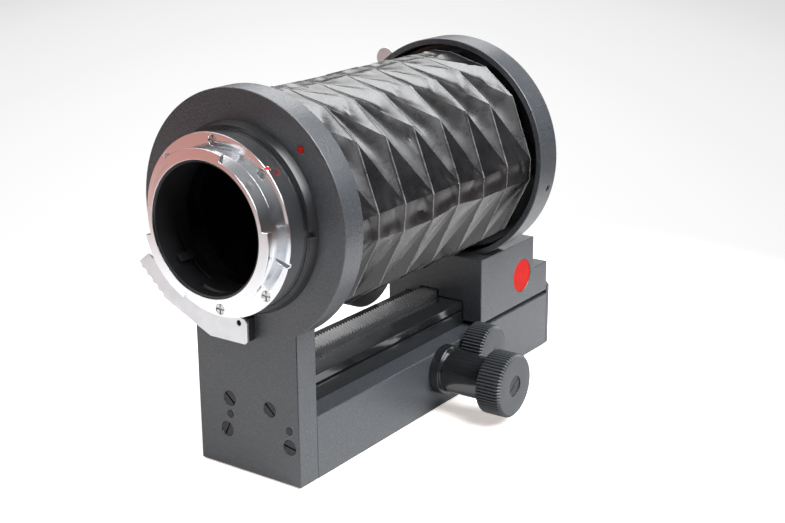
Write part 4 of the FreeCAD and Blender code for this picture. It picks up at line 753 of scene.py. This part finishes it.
def lock_outline(hub, end, radius):
    """(along, radius) corners of the lock wheel: a hub, a rim, a dimple in its face and a blind bore."""
    start = LOCK_RIM_START
    return [(hub, LOCK_BORE), (hub, LOCK_HUB), (start, LOCK_HUB), (start, radius - LOCK_CHAMFER),
            (start + LOCK_CHAMFER, radius), (end - LOCK_CHAMFER, radius), (end, radius - LOCK_CHAMFER),
            (end, LOCK_DIMPLE), (end - LOCK_DIMPLE_DEPTH, LOCK_DIMPLE_FLOOR),
            (end - LOCK_DIMPLE_DEPTH, CORE), (end - LOCK_BORE_END, CORE), (end - LOCK_BORE_END, LOCK_BORE)]


class BELLOWSUNIT_OT_knobs(bpy.types.Operator):
    """Turns and flutes the focus knob, the drive knob and the lock wheel"""
    bl_idname = "bellowsunit.knobs"
    bl_label = "Knobs"

    def execute(self, context):
        edges = context.scene.bellowsunit_edges

        def knob(node, corners, centre, radius, flute_share, rounding):
            count = round(edges.flutes * flute_share)
            turned_piece(f"{node}_fluted", node, corners, centre, rounding, count * COLUMNS_PER_FLUTE,
                         KNOB_EDGE, fluted(count, edges.flute_depth, radius))

        for node, side, flute_share in (("focus_knob", 1, 1.0), ("drive_knob", -1, 1.7)):
            low, high, centre, radius = round_node(node)
            corners = knob_outline(side, min(abs(low.x), abs(high.x)), high.x - low.x, radius)
            knob(node, corners, centre, radius, flute_share, 0.25 * MM)
        low, high, centre, radius = round_node("lock_knob")
        knob("lock_knob", lock_outline(low.x, high.x, radius), centre, radius, 0.8, 0.2 * MM)
        for node in ("focus_knob_screw", "drive_knob_screw"):
            finished_node(node, 0.12 * MM, material="dark_steel")
        for node in ("focus_shaft", "drive_shaft", "lock_screw"):
            repaint(node)
        for node in ("focus_boss", "drive_boss"):
            finished_node(node, 0.25 * MM)
        return {"FINISHED"}


# Castings, rails, mounts and small pieces

class BELLOWSUNIT_OT_castings(bpy.types.Operator):
    """Rounds and paints the housing, the standards, the end plate and the slide"""
    bl_idname = "bellowsunit.castings"
    bl_label = "Castings"

    def execute(self, context):
        rounding = context.scene.bellowsunit_edges.casting
        for node in ("base_housing", "end_plate", "rear_standard", "lens_carriage"):
            finished_node(node, rounding, 3)
        for node in ("guide_rail", "tripod_slide", "bellows_rear_frame", "bellows_front_frame",
                     "lever_bracket"):
            finished_node(node, rounding * 0.6)
        return {"FINISHED"}


class BELLOWSUNIT_OT_racks(bpy.types.Operator):
    """Paints the racks, pinions, gibs and other steel between the slides"""
    bl_idname = "bellowsunit.racks"
    bl_label = "Racks and steel"

    def execute(self, context):
        for node in ("extension_rack", "focus_rack", "drive_pinion", "focus_pinion", "gib_left", "gib_right",
                     "brake_pin", "lever_spring", "lens_lever_spring", "dowel_pins"):
            repaint(node)
        finished_node("tripod_bush", context.scene.bellowsunit_edges.machined)
        return {"FINISHED"}


class BELLOWSUNIT_OT_mounts(bpy.types.Operator):
    """Finishes the turning camera mount and the lens mount"""
    bl_idname = "bellowsunit.mounts"
    bl_label = "Mounts"

    def execute(self, context):
        for node in ("mount_bearing", "mount_collar", "bayonet_flange", "mount_baffle", "diaphragm_ring",
                     "lens_mount_ring"):
            finished_node(node, context.scene.bellowsunit_edges.machined)
        repaint("keeper_ring")
        return {"FINISHED"}


class BELLOWSUNIT_OT_levers(bpy.types.Operator):
    """Finishes the two release levers and their pivots"""
    bl_idname = "bellowsunit.levers"
    bl_label = "Levers"

    def execute(self, context):
        for node in ("release_lever", "lever_pivot", "lens_release_lever", "lens_lever_pivot"):
            finished_node(node, context.scene.bellowsunit_edges.machined)
        return {"FINISHED"}


class BELLOWSUNIT_OT_fasteners(bpy.types.Operator):
    """Rounds the screws that show, and paints the others"""
    bl_idname = "bellowsunit.fasteners"
    bl_label = "Fasteners"

    def execute(self, context):
        for node in ("end_plate_screws", "rear_standard_screws", "flange_screws", "lens_mount_screws",
                     "ring_set_screw", "rear_frame_screws", "front_frame_screws"):
            finished_node(node, 0.09 * MM)
        for node in ("rail_screws", "rack_screws", "keeper_ring_screws", "gib_screws", "focus_rack_screws"):
            repaint(node)
        return {"FINISHED"}


class BELLOWSUNIT_OT_marks(bpy.types.Operator):
    """Makes the red badge and the red index dots"""
    bl_idname = "bellowsunit.marks"
    bl_label = "Badge and dots"

    def execute(self, context):
        low, high, centre, radius = round_node("side_badge")
        back, face = low.x, high.x
        outline = [(back, CORE), (back, radius), (face, radius), (face, radius - 0.5 * MM),
                   (face - 0.12 * MM, radius - 0.8 * MM), (face - 0.02 * MM, 0.4 * radius), (face, CORE)]
        turned_piece("side_badge_enamel", "side_badge", outline, centre, 0.08 * MM, 96, 60)
        for node in ("rear_index_dot", "flange_index_dot", "lens_index_dot"):
            finished_node(node, 0.1 * MM)
        return {"FINISHED"}


# Stage

FLOOR_REACH = 12.0
FLOOR_COLUMNS = 33
FAR_FLOOR = (0.73, 0.73, 0.735)
# The pool of light on the floor: its middle, its turn in degrees, its half axes, and the colour at shares of
# the way out to POOL_REACH half axes
POOL_MIDDLE = (-0.041, -0.029, 0)
POOL_TURN = 125.2
POOL_HALF_AXES = (1.3, 0.33, 1)
POOL_REACH = 2.2
POOL_TONES = ((0.23, 1.0), (0.33, 0.965), (0.455, 0.91), (0.66, 0.85), (0.83, (0.768, 0.766, 0.768)),
              (0.95, FAR_FLOOR))
# How far from the unit the camera sees lit paper turn into the pool of light, and other rays see it end
NEAR_FADE = ((0.12, 1.0), (0.29, 0.0))
PAPER_FADE = ((0.27, 0.0), (0.40, 1.0))
PAPER_MIDDLE = (-0.06, -0.06, 0)
TABLE_FADE = ((0.3, 0.0), (0.65, 1.0))
BROWN_TABLE, PINK_TABLE = (0.05, 0.028, 0.022), (0.42, 0.20, 0.17)
# Share of the paper's colour that other rays see: painted shade on the paper
PAPER_SHADE_SHARE = 0.66
PAPER_BOUNCE = (0.09, 0.093, 0.10)
PAPER_GLOW = (0.49, 0.45, 0.425)
LAMP_TARGET = (0, -0.01, 0.07)
# Name, setting of its power, side, place, colour
LAMPS = (
    ("top_lamp", "top_power", 0.82, (0.63, 0.05, 0.85), (0.97, 0.98, 1.0)),
    ("back_lamp", "back_power", 0.7, (-0.49, 0.75, 0.87), (1, 1, 1)),
    ("side_lamp", "side_power", 0.75, (1.14, -0.22, 0.36), (1, 1, 1)),
    ("fill_lamp", "fill_power", 0.9, (-0.70, -0.55, 0.95), (1.0, 0.96, 0.95)),
)
CAMERA_PLACE = (0.2965, -0.4195, 0.2161)
CAMERA_RIGHT = (0.818, 0.5752, -0.0057)
CAMERA_UP = (-0.1662, 0.2458, 0.9549)
CAMERA_BACK = (0.5507, -0.7802, 0.2967)
SENSOR_WIDTH = 36.0
FOCAL_LENGTH = 62.47


def area_lamp(name, power, size, position, colour):
    """A square lamp that looks at the unit and isn't seen itself."""
    lamp = bpy.data.lights.new(name, "AREA")
    lamp.energy = power
    lamp.size = size
    lamp.color = colour
    light = bpy.data.objects.new(name, lamp)
    bpy.context.scene.collection.objects.link(light)
    away = Vector(position) - Vector(LAMP_TARGET)
    light.matrix_world = Matrix.Translation(position) @ away.to_track_quat("Z", "Y").to_matrix().to_4x4()
    light.visible_camera = False


def floor_material(colour):
    """White paper in a pool of light, with a brown and pink table in front of it.

    Near the unit the camera sees the paper as the lamps light it, plus a warm glow that keeps the shade at the
    unit's foot from going dark. Farther off it sees the pool of light, an ellipse that fades outwards.
    Other rays see the paper darker, with painted shade, and the table beyond its front edge.
    """
    paint = Paint("pale_floor", Base_Color=tuple(colour) + (1.0,), Roughness=0.7, Specular_IOR_Level=0.1)
    where = paint.add("ShaderNodeTexCoord").outputs["Object"]
    split = paint.add("ShaderNodeSeparateXYZ", {"Vector": where})
    seen = paint.add("ShaderNodeLightPath").outputs["Is Camera Ray"]

    pool = paint.add("ShaderNodeMapping", {"Vector": where, "Location": POOL_MIDDLE, "Scale": POOL_HALF_AXES,
                                           "Rotation": (0, 0, math.radians(POOL_TURN))},
                     vector_type="TEXTURE").outputs[0]
    reach = paint.math("DIVIDE", paint.vector("LENGTH", pool, output="Value"), POOL_REACH)
    distant = paint.add("ShaderNodeEmission", {"Color": paint.ramp(reach, *POOL_TONES), "Strength": 1.0})

    from_paper = paint.vector("SUBTRACT", where, PAPER_MIDDLE)
    beyond = paint.ramp(paint.vector("LENGTH", from_paper, output="Value"), *PAPER_FADE)
    left = paint.ramp(paint.math("MULTIPLY_ADD", split.outputs["X"], -3.0, -0.3), *TABLE_FADE)
    before = paint.ramp(paint.math("MULTIPLY_ADD", split.outputs["Y"], -3.0, 0.5), *TABLE_FADE)
    table = paint.mix(paint.math("MULTIPLY", left, before), BROWN_TABLE, PINK_TABLE)
    # Other rays see the paper with painted shade, and the table beyond it
    dull = paint.mix(beyond, shade(colour, PAPER_SHADE_SHARE), table)
    bounce = paint.mix(beyond, PAPER_BOUNCE, (0.0, 0.0, 0.0))
    paint.join(Base_Color=paint.mix(seen, dull, tuple(colour)))
    glow = paint.add("ShaderNodeEmission", {"Color": paint.mix(seen, bounce, PAPER_GLOW), "Strength": 1.0})
    close = paint.add("ShaderNodeAddShader", {0: paint.shader.outputs[0], 1: glow.outputs[0]})

    near = paint.ramp(paint.vector("LENGTH", where, output="Value"), *NEAR_FADE, blend="EASE")
    far = paint.math("MULTIPLY", paint.math("SUBTRACT", 1.0, near), seen)
    both = paint.add("ShaderNodeMixShader", {0: far, 1: close.outputs[0], 2: distant.outputs[0]})
    output = next(node for node in paint.tree.nodes if node.type == "OUTPUT_MATERIAL")
    paint.tree.links.new(both.outputs[0], output.inputs["Surface"])
    return paint.material


def room_light(strength):
    """The room: as pale as the far floor to the camera, and to all else brighter above than at the horizon."""
    world = bpy.data.worlds.new("room")
    bpy.context.scene.world = world
    world.use_nodes = True
    tree = world.node_tree
    tree.nodes.clear()
    place, split, height, rays, both, output = (tree.nodes.new(f"ShaderNode{kind}") for kind in (
        "TexCoord", "SeparateXYZ", "ValToRGB", "LightPath", "MixShader", "OutputWorld"))
    inside, outside = (tree.nodes.new("ShaderNodeBackground") for _ in range(2))
    horizon, zenith = height.color_ramp.elements
    horizon.position, horizon.color = 0.2, (0.05, 0.052, 0.06, 1)
    zenith.position, zenith.color = 0.9, (1.0, 1.0, 1.0, 1)
    inside.inputs["Strength"].default_value = strength
    outside.inputs["Color"].default_value = FAR_FLOOR + (1,)
    outside.inputs["Strength"].default_value = 1.0
    for source, target in (
            (place.outputs["Generated"], split.inputs[0]), (split.outputs["Z"], height.inputs["Fac"]),
            (height.outputs["Color"], inside.inputs["Color"]), (rays.outputs["Is Camera Ray"], both.inputs[0]),
            (inside.outputs[0], both.inputs[1]), (outside.outputs[0], both.inputs[2]),
            (both.outputs[0], output.inputs["Surface"])):
        tree.links.new(source, target)


def lay_floor(colour):
    line = np.linspace(-FLOOR_REACH, FLOOR_REACH, FLOOR_COLUMNS)
    across, along = np.meshgrid(line, line)
    points = np.stack([across, along, np.zeros_like(across)], axis=-1).reshape(-1, 3)
    mesh = bpy.data.meshes.new("floor")
    mesh.from_pydata(points.tolist(), [], grid_faces(FLOOR_COLUMNS, FLOOR_COLUMNS).tolist())
    mesh.materials.append(floor_material(colour))
    floor = bpy.data.objects.new("floor", mesh)
    bpy.context.scene.collection.objects.link(floor)


def place_camera():
    lens = bpy.data.cameras.new("camera")
    lens.sensor_width = SENSOR_WIDTH
    lens.lens = FOCAL_LENGTH
    lens.clip_start, lens.clip_end = 0.01, 50.0
    camera = bpy.data.objects.new("camera", lens)
    bpy.context.scene.collection.objects.link(camera)
    turn = Matrix((CAMERA_RIGHT, CAMERA_UP, CAMERA_BACK)).transposed().to_quaternion().normalized()
    camera.matrix_world = Matrix.Translation(CAMERA_PLACE) @ turn.to_matrix().to_4x4()
    bpy.context.scene.camera = camera


class BELLOWSUNIT_OT_stage(bpy.types.Operator):
    """Sets the floor, the lamps, the room and the camera"""
    bl_idname = "bellowsunit.stage"
    bl_label = "Stage"

    def execute(self, context):
        stage = context.scene.bellowsunit_stage
        lay_floor(stage.floor)
        for name, power, size, position, colour in LAMPS:
            area_lamp(name, getattr(stage, power), size, position, colour)
        room_light(stage.room)
        context.scene.view_settings.view_transform = "Standard"
        place_camera()
        return {"FINISHED"}


class BELLOWSUNIT_PT_panel(bpy.types.Panel):
    """Sizes, colours and steps of the bellows unit"""
    bl_idname = "BELLOWSUNIT_PT_panel"
    bl_label = "Bellows unit"
    bl_space_type = "VIEW_3D"
    bl_region_type = "UI"
    bl_category = "Bellows unit"

    def draw(self, context):
        for name, group in PROPERTY_GROUPS.items():
            settings = getattr(context.scene, name)
            column = self.layout.box().column()
            column.label(text=group.__doc__)
            for prop in group.__annotations__:
                column.prop(settings, prop)
        for operator in OPERATORS:
            self.layout.operator(operator.bl_idname)


OPERATORS = (
    BELLOWSUNIT_OT_castings,
    BELLOWSUNIT_OT_racks,
    BELLOWSUNIT_OT_mounts,
    BELLOWSUNIT_OT_levers,
    BELLOWSUNIT_OT_fasteners,
    BELLOWSUNIT_OT_marks,
    BELLOWSUNIT_OT_knobs,
    BELLOWSUNIT_OT_cloth,
    BELLOWSUNIT_OT_stage,
)


def register():
    for name, group in PROPERTY_GROUPS.items():
        bpy.utils.register_class(group)
        setattr(bpy.types.Scene, name, bpy.props.PointerProperty(type=group))
    for thing in OPERATORS + (BELLOWSUNIT_PT_panel,):
        bpy.utils.register_class(thing)


def unregister():
    for thing in reversed(OPERATORS + (BELLOWSUNIT_PT_panel,)):
        bpy.utils.unregister_class(thing)
    for name, group in reversed(PROPERTY_GROUPS.items()):
        delattr(bpy.types.Scene, name)
        bpy.utils.unregister_class(group)


def main():
    """Registers the classes and makes every piece in order."""
    register()
    make_finishes()
    bpy.ops.bellowsunit.castings()
    bpy.ops.bellowsunit.racks()
    bpy.ops.bellowsunit.mounts()
    bpy.ops.bellowsunit.levers()
    bpy.ops.bellowsunit.fasteners()
    bpy.ops.bellowsunit.marks()
    bpy.ops.bellowsunit.knobs()
    bpy.ops.bellowsunit.cloth()
    bpy.ops.bellowsunit.stage()


if __name__ == "__main__":
    main()
